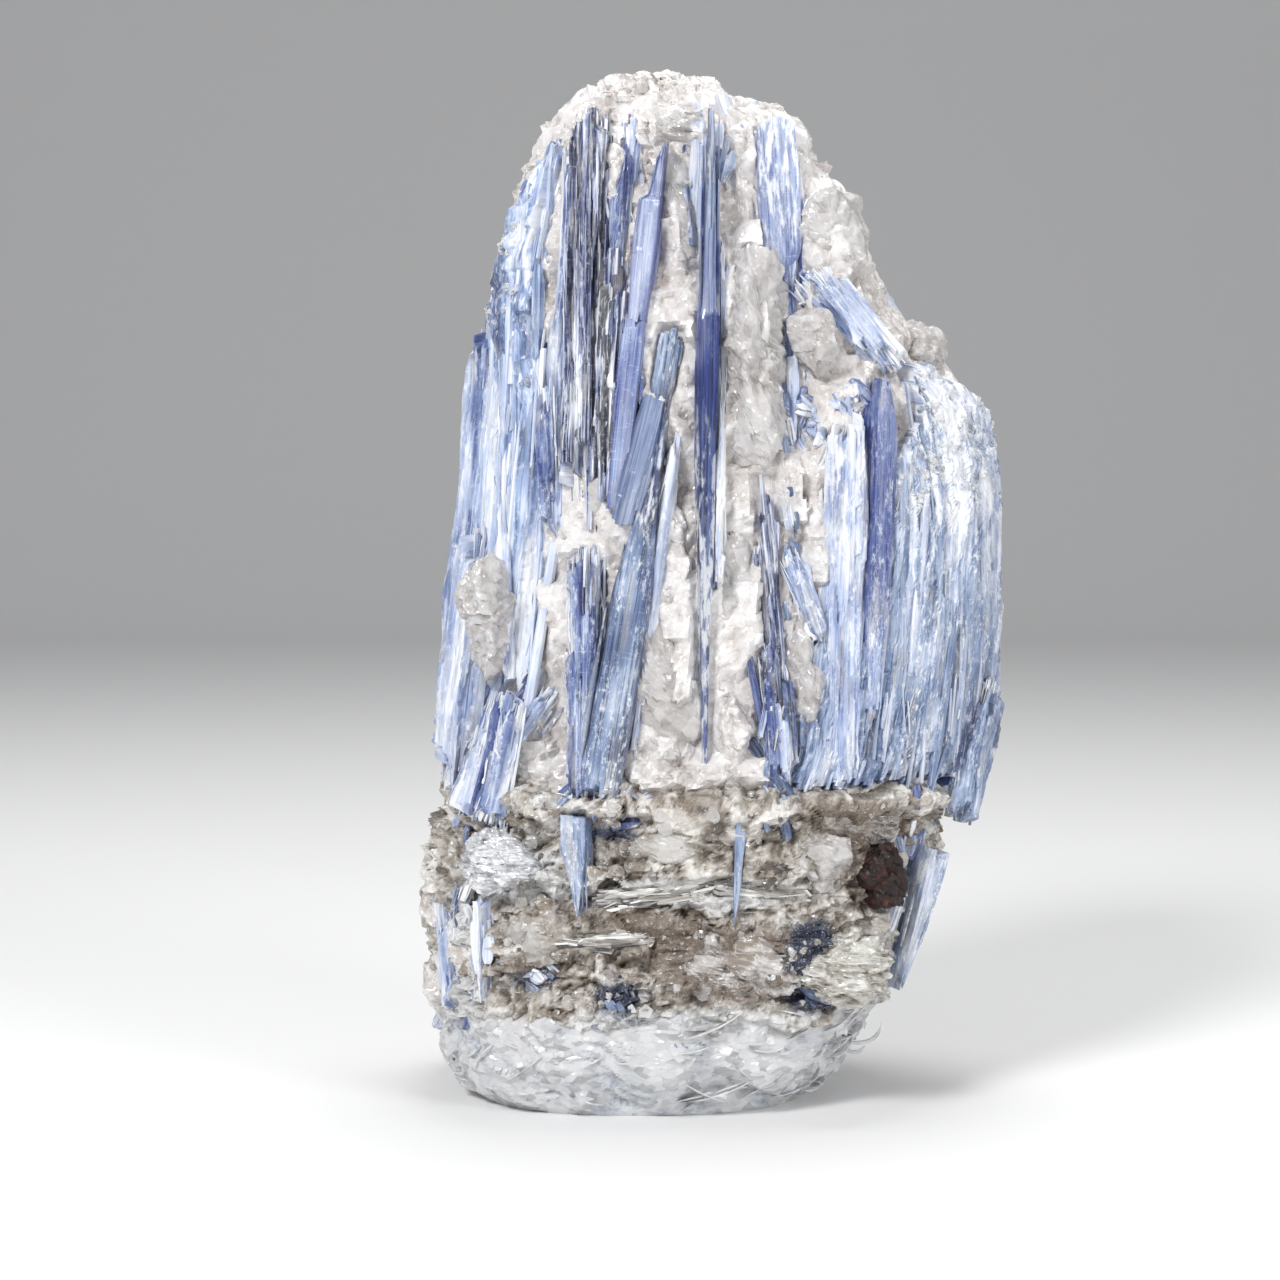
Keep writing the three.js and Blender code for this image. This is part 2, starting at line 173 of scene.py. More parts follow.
# Holds points inside the construction's box: within 0.9 mm of a side the distance left, d, shrinks as
# 0.9 e^(-(over) / 0.9), so faces never fall on one plane.
def keptInside(points, room=0.9, gap=0.02):
    over = np.maximum(points - (highCorner - room), 0)
    under = np.maximum((lowCorner + room) * np.array([1, 1, 0]) - points, 0)
    points = np.where(over > 0, highCorner - gap - (room - gap) * np.exp(-over / room), points)
    points = np.where(under > 0, lowCorner + gap + (room - gap) * np.exp(-under / room), points)
    return np.maximum(points, lowCorner + np.array([0, 0, gap]))


pieceCount = 0
triangleCount = 0


# A finished piece: points in mm, triangles, one finish, its record slot (not used) and the CAD nodes it
# stands for.
def addPiece(name, points, triangles, finish, slot, nodes=(), values=None, smoothBelow=None):
    global pieceCount, triangleCount
    points = keptInside(points)
    triangles = outwards(points, triangles)
    mesh = bpy.data.meshes.new(name)
    mesh.vertices.add(len(points))
    mesh.vertices.foreach_set("co", (points * mm).astype(np.float32).ravel())
    mesh.loops.add(triangles.size)
    mesh.loops.foreach_set("vertex_index", triangles.astype(np.int32).ravel())
    mesh.polygons.add(len(triangles))
    mesh.polygons.foreach_set("loop_start", np.arange(0, triangles.size, 3, dtype=np.int32))
    mesh.update(calc_edges=True)
    for key, value in (values or {}).items():
        kind, field = ("FLOAT_VECTOR", "vector") if value.ndim == 2 else ("FLOAT", "value")
        layer = mesh.attributes.new(key, kind, "POINT")
        layer.data.foreach_set(field, value.astype(np.float32).ravel())
    if smoothBelow is None:
        mesh.shade_flat()
    else:
        mesh.shade_smooth()
        mesh.set_sharp_from_angle(angle=np.radians(smoothBelow))
    piece = bpy.data.objects.new(name, mesh)
    bpy.context.scene.collection.objects.link(piece)
    mesh.materials.append(finish)
    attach(piece, "root")
    if nodes:
        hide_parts(*nodes)
    pieceCount += 1
    triangleCount += len(triangles)
    print(f"{name}: {len(triangles)} triangles")


# Finishes: shader maths as Python expressions

class Wire:
    # a node's output; its sum, difference or product with a wire or number adds a Math node
    def __init__(self, paint, socket):
        self.paint, self.socket = paint, socket

    def math(self, operation, *values):
        return self.paint.node("ShaderNodeMath", {"operation": operation}, dict(enumerate(values)))

    def __add__(self, other):
        return self.math("ADD", self, other)

    def __sub__(self, other):
        return self.math("SUBTRACT", self, other)

    def __mul__(self, other):
        return self.math("MULTIPLY", self, other)


class Paint:
    # one material, and the few ways its nodes are added
    def __init__(self, name):
        self.material = bpy.data.materials.new(name)
        self.material.use_nodes = True
        self.tree = self.material.node_tree
        self.tree.nodes.clear()

    # any node: its settings first, then the values or wires of its sockets; returns one output
    def node(self, kind, settings=None, inputs=None, output=0):
        made = self.tree.nodes.new(kind)
        for key, value in (settings or {}).items():
            if key == "stops":
                ramp = made.color_ramp.elements
                while len(ramp) < len(value):
                    ramp.new(0.5)
                for stop, (place, colour) in zip(ramp, value):
                    stop.position, stop.color = place, (*colour, 1)
            else:
                setattr(made, key, value)
        for key, value in (inputs or {}).items():
            if isinstance(value, Wire):
                self.tree.links.new(value.socket, made.inputs[key])
            else:
                made.inputs[key].default_value = value
        return Wire(self, made.outputs[output])

    def attribute(self, name, output="Fac"):
        return self.node("ShaderNodeAttribute", {"attribute_name": name}, output=output)

    def place(self):
        return self.node("ShaderNodeTexCoord", output="Object")

    def scaled(self, vector, by):
        by = tuple(by) if hasattr(by, "__len__") else (by, by, by)
        return self.node("ShaderNodeVectorMath", {"operation": "MULTIPLY"}, {0: vector, 1: by})

    def noise(self, vector, scale=1.0, detail=3.0, roughness=0.5):
        return self.node("ShaderNodeTexNoise", None,
                         {"Vector": vector, "Scale": scale, "Detail": detail, "Roughness": roughness})

    def cells(self, vector, scale=1.0, feature="F1", output=0):
        return self.node("ShaderNodeTexVoronoi", {"feature": feature},
                         {"Vector": vector, "Scale": scale}, output)

    # a space pushed about by noise, so that lines through it wander
    def bent(self, vector, scale, by):
        push = self.node("ShaderNodeTexNoise", None, {"Vector": vector, "Scale": scale, "Detail": 2.0}, 1)
        return self.node("ShaderNodeVectorMath", {"operation": "ADD"}, {0: vector, 1: self.scaled(push, by)})

    # small facets: each cell's own random slope times the way from the cell's middle
    def facets(self, vector, scale):
        slope = self.node("ShaderNodeVectorMath", {"operation": "SUBTRACT"},
                          {0: self.cells(vector, scale, output=1), 1: (0.5, 0.5, 0.5)})
        way = self.node("ShaderNodeVectorMath", {"operation": "SUBTRACT"},
                        {0: vector, 1: self.cells(vector, scale, output=2)})
        return self.node("ShaderNodeVectorMath", {"operation": "DOT_PRODUCT"}, {0: slope, 1: way}, 1)

    def ramp(self, value, stops):
        return self.node("ShaderNodeValToRGB", {"stops": stops}, {"Fac": value})

    def between(self, value, low, high, toLow=0.0, toHigh=1.0):
        return self.node("ShaderNodeMapRange", {"clamp": True},
                         {"Value": value, "From Min": low, "From Max": high, "To Min": toLow,
                          "To Max": toHigh})

    def mix(self, share, first, second):
        first, second = (v if isinstance(v, Wire) else (*v, 1) for v in (first, second))
        return self.node("ShaderNodeMix", {"data_type": "RGBA"}, {0: share, 6: first, 7: second}, 2)

    def bump(self, height, strength, distance):
        return self.node("ShaderNodeBump", None,
                         {"Height": height, "Strength": strength, "Distance": distance})

    # the surface itself; every value that isn't a wire is a plain number on the shader's own socket
    def finish(self, values):
        shader = self.node("ShaderNodeBsdfPrincipled", None, values)
        made = self.tree.nodes.new("ShaderNodeOutputMaterial")
        self.tree.links.new(shader.socket, made.inputs["Surface"])
        return self.material


# The blades: flat ribbons of crystal, many at once

# points across the outer face, across the inner one, and rows along, for each kind of ribbon
grids = {"blade": (26, 6, 110), "sliver": (9, 3, 40), "lath": (6, 3, 11), "fibre": (2, 1, 4),
         "piece": (4, 2, 6), "spike": (5, 3, 16), "fold": (3, 2, 14)}


# Each blade is a closed ribbon. Round its section u runs across (-1 to 1) on the outer face and back
# on the inner one; s runs from its foot (0) to its top (1). The outer face has ledges: level strips
# along the blade, each strip and each long stretch of it at its own height. The ends are ragged.
def growBlades(spec, front, back, rows):
    s = {key: np.asarray(value, float) for key, value in spec.items() if key not in ("paint", "profile")}
    count = len(s["foot"])
    line = s["top"] - s["foot"]
    length = np.linalg.norm(line, axis=1)
    along = unit(line)
    across = unit(s["across"] - along * np.sum(s["across"] * along, 1, keepdims=True))
    outward = np.cross(across, along)
    ring = front + back
    u = np.concatenate([np.linspace(-1, 1, front), np.linspace(0.94, -0.94, back)])[None, None, :]
    v = np.concatenate([np.ones(front), -np.ones(back)])[None, None, :]
    share = np.linspace(0, 1, rows)[None, :, None]
    seed = np.arange(count)[:, None, None] + int(s["seed"])
    half = (s["width"] / 2)[:, None, None]
    deep = (s["depth"] / 2)[:, None, None]
    long = length[:, None, None]
    tip, root = s["tip"][:, None, None], s["root"][:, None, None]
    taper = np.minimum(root + (1 - root) * smoothStep(0, 0.3, share),
                       tip + (1 - tip) * smoothStep(0, 0.22, 1 - share))
    widths = np.array(spec.get("profile", ((0, 1), (1, 1))))
    taper = taper * np.interp(share, widths[:, 0], widths[:, 1])
    sway = np.broadcast_arrays(share * long * 0.16 + seed * 3.7, seed * 1.3 + 0 * u, 0 * u * share)
    side = 1 + 0.09 * softNoise(np.stack(sway, -1), 5)
    wave = 0.3 * np.sin(share * long * 0.3 + seed)
    strip = np.floor(u * half * s["strips"][:, None, None] + 40 + wave).astype(np.int64)
    stretch = np.floor(share * long / 9 + latticeNumber(strip, seed, seed * 0, 3) * 3).astype(np.int64)
    level = latticeNumber(strip, seed, stretch, 7) * 0.6 + latticeNumber(strip, seed, seed * 0, 9) * 0.4
    ledge = -level * np.broadcast_to(s["ledge"], count)[:, None, None] * (v > 0)
    bevel = -0.3 * deep * (np.abs(u) > 0.97) * (v > 0)
    x = u * half * taper * side + s.get("skew", 0) * half * (1 - np.interp(share, widths[:, 0], widths[:, 1]))
    y = v * deep * (0.45 + 0.55 * taper) + ledge + bevel
    chip = latticeNumber(strip, seed, seed * 0 + 5, 11) - 0.3
    ragged = s["ragged"][:, None, None]
    z = share * long - ragged * chip * smoothStep(0.7, 1, share) + ragged * chip * smoothStep(0.3, 0, share)
    bow = 4 * share * (1 - share)
    points = s["foot"][:, None, None, :]
    for way, amount in ((across, x), (outward, y), (along, z), (s.get("bow", 0 * along), bow)):
        points = points + way[:, None, None, :] * amount[..., None]
    ends = points[:, [0, -1]].mean(2)
    points = np.concatenate([points.reshape(count, -1, 3), ends], 1)
    body = rows * ring
    own = seed + 0 * x
    space = np.stack([x + own * 5.3, y * np.ones_like(x) + own * 3.1, z + own * 17.9], -1)
    space = space.reshape(count, body, 3)
    space = np.concatenate([space, space[:, [0, -1]]], 1)
    stops = np.asarray(spec.get("paint", ((0, 0, 0, 0), (1, 0, 0, 0))), float)
    shares = np.concatenate([np.repeat(share.ravel(), ring), [0, 1]])
    values = {"bladeSpace": space.reshape(-1, 3)}
    for key, column in (("tone", 1), ("lilac", 2), ("frost", 3), ("soot", 0)):
        change = np.interp(shares, stops[:, 0], stops[:, column]) * (column > 0)
        values[key] = (s.get(key, np.zeros(count))[:, None] + change[None]).ravel()
    rim = np.concatenate([np.tile(0.35 - u.ravel() ** 4, rows), [0, 0]])
    values["tone"] += (s.get("rim", np.zeros(count))[:, None] * rim[None]).ravel()
    return points.reshape(-1, 3), repeated(closedTriangles(rows, ring), count, body + 2), values


# Joins several (points, triangles, values) into one.
def joined(*parts):
    start = np.cumsum([0] + [len(p[0]) for p in parts[:-1]])
    return (np.concatenate([p[0] for p in parts]), np.concatenate([p[1] + k for p, k in zip(parts, start)]),
            {key: np.concatenate([p[2][key] for p in parts]) for key in parts[0][2]})


# The line of a CAD node in mm: its foot and top, which way its width and its outer face point, and
# how wide and deep it is there. The long way is the first principal direction of its corners.
def lineOf(node):
    mesh = frame["nodes"][node].data
    corners = np.empty(len(mesh.vertices) * 3)
    mesh.vertices.foreach_get("co", corners)
    corners = np.unique((corners.reshape(-1, 3) / mm).round(3), axis=0)
    centre = corners.mean(0)
    ways = np.linalg.svd(corners - centre, full_matrices=False)[2]
    along = ways[0] * np.sign(ways[0][2])
    at = (corners - centre) @ along
    near = 0.15 * np.ptp(at)
    foot, top = corners[at < at.min() + near].mean(0), corners[at > at.max() - near].mean(0)
    along = unit(top - foot)
    at = (corners - centre) @ along
    foot, top = centre + along * at.min(), centre + along * at.max()
    level = np.array([0.0, 0.0, centre[2]])
    outer = unit(np.array([centre[0] * 0.35, centre[1], 0.0]))
    outer = unit(outer - along * (outer @ along))
    across = np.cross(along, outer)
    spread = lambda way: np.percentile((corners - centre) @ way, [3, 97])
    return {"foot": foot, "top": top, "across": across, "outer": outer, "along": along,
            "width": np.ptp(spread(across)), "depth": np.ptp(spread(outer)),
            "length": np.linalg.norm(top - foot)}


# laths of a sheaf: how much lower the edge ones end, as a share of the length; how far they turn with its
# rounded front, in degrees; how far back the edge ones lie, in mm
sheafHabit = {"crown": 0.08, "wrap": 40, "bow": 1.2}


# A sheaf along a line: many laths side by side and in layers. Across, they lie anywhere from edge to
# edge; the outer ones bow back and turn to follow the sheaf's rounded front; inner ones run the whole
# length and close it, outer ones are shorter stretches.
def sheafSpec(line, shape, seed):
    rng = np.random.default_rng(seed)
    n = shape["laths"]
    width, depth, length = line["width"] * shape.get("wider", 1), line["depth"], line["length"]
    outer, across, along = line["outer"], line["across"], line["along"]
    layer = rng.random(n)
    inner = layer < 0.45
    u = np.where(inner, (np.arange(n) * 0.618) % 1 * 2 - 1, rng.uniform(-1, 1, n))
    low, high = shape["lathWidth"]
    lathWidth = low + (high - low) * rng.random(n) ** 2.2
    lathWidth *= np.where(inner, 1.5, 1)
    reach = np.where(inner, rng.uniform(0.8, 1, n), rng.uniform(*shape["reach"], n))
    start = (1 - reach) * rng.random(n)
    crown = sheafHabit["crown"] * length * (u**2) * rng.uniform(0.3, 1, n)
    angle = np.radians(sheafHabit["wrap"]) * u
    wayAcross = across * np.cos(angle)[:, None] - outer * np.sin(angle)[:, None]
    out = -sheafHabit["bow"] * u**2 + layer - 0.6 + rng.normal(0, 0.12, n)
    out += depth * shape.get("outward", 0.15)
    fan = shape.get("fan", 0.0)
    sideways = u * (width / 2 - lathWidth / 2)
    lean = rng.normal(0, shape.get("lean", 0.25), (n, 2))
    at = lambda share, spread: (line["foot"] + along * share[:, None] * length
                                + across * (sideways * spread)[:, None] + outer * out[:, None])
    foot = at(start, 1 + fan * (1 - start)) + across * lean[:, :1]
    top = at(start + reach, 1 + fan * (1 - start - reach)) + across * lean[:, 1:] - along * crown[:, None]
    return {"foot": foot, "top": top, "across": wayAcross, "width": lathWidth,
            "depth": np.maximum(lathWidth * 0.8, 0.5) * rng.uniform(0.8, 1.5, n) + 0.5,
            "tip": rng.uniform(0.35, 0.95, n), "root": rng.uniform(0.5, 1, n), "ledge": lathWidth * 0.14,
            "strips": 1.6 + 0 * u, "ragged": rng.uniform(0.3, 1.6, n),
            "tone": np.clip(rng.normal(shape["tone"], shape["toneSpread"], n), 0, 1),
            "soot": rng.random(n) * shape["soot"], "seed": seed}


# Cleavage relief on a flattened surface (across, along in mm): long narrow cells at several scales, each
# a tilted facet at its own level. Also gives how light each cell is and its share of painted groove shade.
def cleaved(flat, facets, seed):
    height, tone, soot = 0, 0, 0
    for level, (wide, tall, relief) in enumerate(facets):
        offset, own = cellNoise(flat / np.array([wide, tall, 3]), seed * 5 + level)
        tilt = offset[..., 0] * (own[..., 0] - 0.5) * 2.2 + offset[..., 1] * (own[..., 1] - 0.5) * 0.7
        height = height + relief * (tilt + 0.9 * (own[..., 2] - 0.5))
        tone = tone + (own[..., 1] - 0.5) * (1.5, 1.0, 0.6)[level]
        soot = soot + smoothStep(0.45, 0.75, own[..., 0]) * (0.7, 0.4, 0.2)[level]
    return height, tone, soot


# A number for each strip of laths across a surface, wide and narrow ones together.
def strips(arc, seed):
    own = lambda wide: latticeNumber(np.floor(arc / wide).astype(np.int64), np.int64(seed), np.int64(3))
    return 0.6 * own(1.2) + 0.4 * own(0.45)


sheafFacets = ((1.3, 17, 0.5), (0.5, 8, 0.24), (0.2, 3, 0.1))


# The cohesive body of a sheaf: an oval tube round its line, cleaved on its surface. x and y of the oval
# are |c|^0.75 of the turn's cosine and sine. Each strip ends at its own height, where it steps inwards.
def sheafBody(line, shape, seed):
    halfWide = line["width"] / 2 * shape.get("wider", 1)
    halfDeep = line["depth"] / 2 * shape.get("deeper", 1)
    length, step = line["length"], shape.get("step", 0.33)
    z = np.linspace(0, length, int(length / step))[:, None]
    columns = int(3.2 * (halfWide + halfDeep) / shape.get("grid", 0.17))
    turn = np.linspace(0, 2 * np.pi, columns, endpoint=False)[None, :] + np.pi / 2
    angle = turn - 0.35 * np.cos(turn)
    swell = lambda way: np.sign(way) * np.abs(way) ** 0.75
    x, y = swell(np.cos(angle)) * halfWide, -swell(np.sin(angle)) * halfDeep
    stepX, stepY = (np.roll(v, -1, 1) - np.roll(v, 1, 1) for v in (x, y))
    size = np.hypot(stepX, stepY)
    arc = np.cumsum(size / 2, 1)
    normalX, normalY = -stepY / size, stepX / size
    if (normalX * x + normalY * y).sum() < 0:
        normalX, normalY = -normalX, -normalY
    drift = 0.35 * softNoise(np.stack(np.broadcast_arrays(arc / 5, z / 11, seed * 1.7), -1), seed)
    flat = np.stack(np.broadcast_arrays(arc + drift, z, seed * 7.3 + 0 * arc), -1)
    height, tone, soot = cleaved(flat, shape.get("facets", sheafFacets), seed)
    height = height + shape.get("lumpy", 0.45) * layeredNoise(flat / np.array([3.2, 9, 3]), 3, seed + 9)
    jag = strips(arc, seed)
    edge = (x / halfWide) ** 2
    high = length - shape.get("raggedTop", 3) * jag - 0.05 * length * edge
    low = shape.get("raggedFoot", 2) * (1 - jag)
    sink = np.maximum(smoothStep(high - 0.35, high + 0.35, z), smoothStep(low + 0.35, low - 0.35, z))
    fan = 1 + shape.get("fan", 0) * (1 - z / length)
    x = (x * fan + normalX * height) * (1 - 0.8 * sink)
    y = (y + normalY * height) * (1 - 0.8 * sink) - 0.25 * edge * halfDeep
    spots = [line[key][None, None] for key in ("foot", "along", "across", "outer")]
    points = spots[0] + spots[1] * z[..., None] + spots[2] * x[..., None] + spots[3] * y[..., None]
    return closedGrid(points, sheafValues(shape, flat, z / length, arc, height, z, tone, soot, seed))


# The paint values of a cleaved surface, given how far along it each point is (0 to 1).
def sheafValues(shape, flat, along, arc, height, z, tone, soot, seed):
    wander = softNoise(flat / np.array([2.2, 14, 3]), seed + 31)
    paint = np.array(shape.get("paint", ((0, 0, 0), (1, 0, 0))))
    patches = smoothStep(0.35, 0.8, softNoise(flat / np.array([0.9, 4, 3]), seed + 33))
    tone = shape["tone"] + shape["toneSpread"] * (tone + 0.9 * wander)
    tone = tone + np.interp(along, paint[:, 0], paint[:, 1])
    return {"bladeSpace": np.stack(np.broadcast_arrays(arc + seed * 9.1, height, z), -1),
            "tone": np.clip(tone, 0, 1), "lilac": 0 * tone, "soot": soot * shape["soot"] + 0 * tone,
            "frost": np.interp(along, paint[:, 0], paint[:, 2]) + 0.3 * patches + 0 * tone}


# A grid whose rows are rings, closed by a point at each end; values are grids too.
def closedGrid(points, values):
    rows, columns = points.shape[:2]
    ended = {key: np.concatenate([v.reshape(rows * columns, -1), v[[0, -1], 0].reshape(2, -1)]).squeeze()
             for key, v in values.items()}
    points = np.concatenate([points.reshape(-1, 3), points[[0, -1]].mean(1)])
    return points, closedTriangles(rows, columns), ended


# A curtain of laths that follows the rock's plain outline between two edges, given as turns at heights;
# it stands proud of the outline, ends in ragged strips and sinks into the rock all round.
def curtain(shape, seed):
    edges = np.array(shape["edges"], float)
    step, across, depth = 0.33, 0.17, 2.4       # between rows, between columns, and how thick it is, in mm
    z = np.arange(edges[0, 0], edges[-1, 0] + step / 2, step)[:, None]
    left, right = (arcOf(np.interp(z, edges[:, 0], edges[:, k])) for k in (1, 2))
    behind = 16
    t = np.concatenate([np.linspace(0, 1, int((right - left).max() / across)),
                        np.linspace(1, 0, behind)])[None]
    inner = (np.arange(t.size) >= t.size - behind)[None]
    arc = left + (right - left) * t
    turn = turnOf(arc)
    plain = roundAt(turn, z + 0 * turn)
    drift = 0.35 * softNoise(np.stack(np.broadcast_arrays(arc / 5, z / 11, seed * 1.7), -1), seed)
    flat = np.stack(np.broadcast_arrays(arc + drift, z, seed * 7.3), -1)
    height, tone, soot = cleaved(flat, shape.get("facets", sheafFacets), seed)
    knobbly = np.interp(z, *np.array(shape.get("knobbly", ((0, 0), (1, 0)))).T)
    height = height + 0.45 * layeredNoise(flat / np.array([3.2, 9, 3]), 3, seed + 9)
    height = height * (1 - 0.6 * knobbly)
    knobs = facetRelief(plain, 2.2, 1.0, seed + 3)[0] + facetRelief(plain, 0.8, 0.25, seed + 4)[0]
    height = height + knobbly * knobs
    jag = strips(arc, seed)
    low, high = curtainReach(shape, t)
    high, low = high - shape.get("raggedTop", 3) * jag, low + shape.get("raggedFoot", 2) * (1 - jag)
    stretch = np.floor(z / 3.1 + 40).astype(np.int64)
    notch = 0.5 + shape.get("raggedSide", 1.6) * latticeNumber(stretch, np.int64(seed), np.int64(8))
    inset = np.minimum(arc - left, right - arc)
    sink = np.maximum(smoothStep(high - 0.3, high + 0.3, z), smoothStep(low + 0.3, low - 0.3, z))
    sink = np.maximum(sink, smoothStep(notch, notch - 0.5, inset))
    out = (curtainProud(shape, t) + height + depth) * (1 - sink) - depth
    out = np.where(inner, -depth - 0.4, out)
    points = plain + outwardAt(turn, z + 0 * turn) * out[..., None]
    along = (z - edges[0, 0]) / np.ptp(edges[:, 0]) + 0 * arc
    tone = tone + 0.8 * knobbly * softNoise(plain / 1.3, seed)
    values = sheafValues(shape, flat, along, arc, height, z, tone, soot, seed)
    # spots: turn and height, half width and half height, what is added to tone and frost
    for spotTurn, spotZ, wide, tall, lighter, frosty in shape.get("spots", ()):
        bell = np.exp(-(((arc - arcOf(spotTurn)) / wide) ** 2) - ((z - spotZ) / tall) ** 2)
        values["tone"] += bell * lighter
        values["frost"] += bell * frosty
    return closedGrid(points, values)


# Heights of a curtain's foot and top at each share of the way across it.
def curtainReach(shape, t):
    return (np.interp(t, *np.array(shape[key]).T) for key in ("feet", "tops"))


# How far a curtain stands off the plain outline there.
def curtainProud(shape, t):
    return np.interp(t, *np.array(shape["proud"]).T)


# The loose laths of a curtain, each upright on its face.
def curtainSpec(shape, seed, count, widths, reach):
    rng = np.random.default_rng(seed)
    edges = np.array(shape["edges"], float)
    t = rng.random(count)
    low, high = curtainReach(shape, t)
    length = (high - low) * rng.uniform(*reach, count)
    foot = low + (high - low - length) * rng.random(count)
    middle = foot + length / 2
    left, right = (arcOf(np.interp(middle, edges[:, 0], edges[:, k])) for k in (1, 2))
    arc = left * (1 - t) + right * t
    out = curtainProud(shape, t) + rng.normal(shape.get("lathOut", 0.0), 0.18, count)
    spots = []
    for height, lean in ((foot, rng.normal(0, 0.3, count)), (foot + length, rng.normal(0, 0.3, count))):
        turn = turnOf(arc + lean)
        spots.append(roundAt(turn, height) + outwardAt(turn, height) * out[:, None])
    width = widths[0] + (widths[1] - widths[0]) * rng.random(count) ** 2.2
    across = np.cross(unit(spots[1] - spots[0]), outwardAt(turnOf(arc), middle))
    return {"foot": spots[0], "top": spots[1], "across": across, "width": width,
            "depth": np.maximum(width * 0.8, 0.5) * rng.uniform(0.8, 1.3, count),
            "tip": rng.uniform(0.35, 0.95, count), "root": rng.uniform(0.5, 1, count), "ledge": width * 0.12,
            "strips": np.full(count, 1.6), "ragged": rng.uniform(0.2, 1.2, count),
            "tone": np.clip(rng.normal(shape["tone"], shape["toneSpread"], count), 0, 1),
            "soot": rng.random(count) * shape["soot"], "seed": seed}


# Fine loose fibres that lie on the front of a sheaf.
def fibreSpec(line, shape, seed):
    fine = dict(shape, laths=shape["fibres"], lathWidth=(0.07, 0.3), reach=(0.04, 0.25), toneSpread=0.12,
                tone=0.9, soot=0.0, lean=0.35, outward=0.25)
    spec = sheafSpec(line, fine, seed + 500)
    spec["depth"] = spec["width"] * 1.2
    spec["ledge"] *= 0
    return spec


# Chips, flakes and lumps

# Directions over a ball from two parameters: height and turn, with a point at each pole.
def ballWays(rows, columns):
    polar = np.linspace(0, np.pi, rows + 2)[1:-1][:, None]
    turn = np.linspace(0, 2 * np.pi, columns, endpoint=False)[None, :] + 0.5 * polar
    flat = np.sin(polar)
    ways = np.stack([flat * np.cos(turn), flat * np.sin(turn), np.cos(polar) + 0 * turn], -1)
    return np.concatenate([ways.reshape(-1, 3), [[0, 0, 1], [0, 0, -1]]]), closedTriangles(rows, columns)


# Broken chips: round each centre the surface lies where the nearest of its own few facet planes is,
# at the least of d / (n . way) over its facets, then stretched along its own axis.
def chips(centres, sizes, seed, facets=9, rows=4, columns=7, stretch=1.5):
    rng = np.random.default_rng(seed)
    n = len(centres)
    ways, triangles = ballWays(rows, columns)
    normals = unit(rng.normal(size=(n, facets, 3)))
    distance = rng.uniform(0.62, 1.0, (n, facets))
    facing = np.einsum("nfi,vi->nfv", normals, ways)
    radius = np.min(np.where(facing > 0.08, distance[..., None] / np.maximum(facing, 0.08), 3.0), axis=1)
    radius = np.minimum(radius, 1.25)
    axis = unit(rng.normal(size=(n, 3)))
    local = ways[None] * radius[..., None]
    onAxis = np.sum(local * axis[:, None], -1, keepdims=True)
    local = local + axis[:, None] * (onAxis * (rng.uniform(1, stretch, (n, 1, 1)) - 1))
    points = centres[:, None] + local * sizes[:, None, None] / 2
    values = {"tone": np.repeat(rng.random(n), len(ways)), "grain": np.repeat(rng.random(n), len(ways))}
    return points.reshape(-1, 3), repeated(triangles, n, len(ways)), values


# Mica flakes: thin closed plates with an uneven outline of seven corners, each face a fan round its
# slightly raised middle.
def flakes(centres, normals, sizes, seed, thin=0.06, corners=7):
    rng = np.random.default_rng(seed)
    n = len(centres)
    one = unit(np.cross(normals, rng.normal(size=(n, 3))))
    two = np.cross(normals, one)
    turn = np.linspace(0, 2 * np.pi, corners, endpoint=False)[None] + rng.uniform(-0.25, 0.25, (n, corners))
    reach = sizes[:, None] / 2 * rng.uniform(0.65, 1.1, (n, corners))
    narrow = rng.uniform(0.5, 1, (n, 1))
    rim = one[:, None] * (np.cos(turn) * reach)[..., None]
    rim = rim + two[:, None] * (np.sin(turn) * reach * narrow)[..., None]
    curl = normals[:, None] * (rng.normal(0, 0.07, (n, corners)) * sizes[:, None])[..., None]
    thick = normals[:, None] * (thin / 2)
    upper, lower = rim + curl + thick, rim + curl - thick
    middle = 0 * rim[:, :1]
    points = np.concatenate([upper, lower, middle + thick, middle - thick], 1) + centres[:, None]
    c = np.arange(corners)
    after = (c + 1) % corners
    triangles = np.concatenate([np.stack([c, after, 0 * c + 2 * corners], -1),
                                np.stack([after + corners, c + corners, 0 * c + 2 * corners + 1], -1),
                                np.stack([c, c + corners, after], -1),
                                np.stack([after, c + corners, after + corners], -1)])
    values = {key: np.repeat(rng.random(n), 2 * corners + 2) for key in ("tone", "grain")}
    return points.reshape(-1, 3), repeated(triangles, n, 2 * corners + 2), values


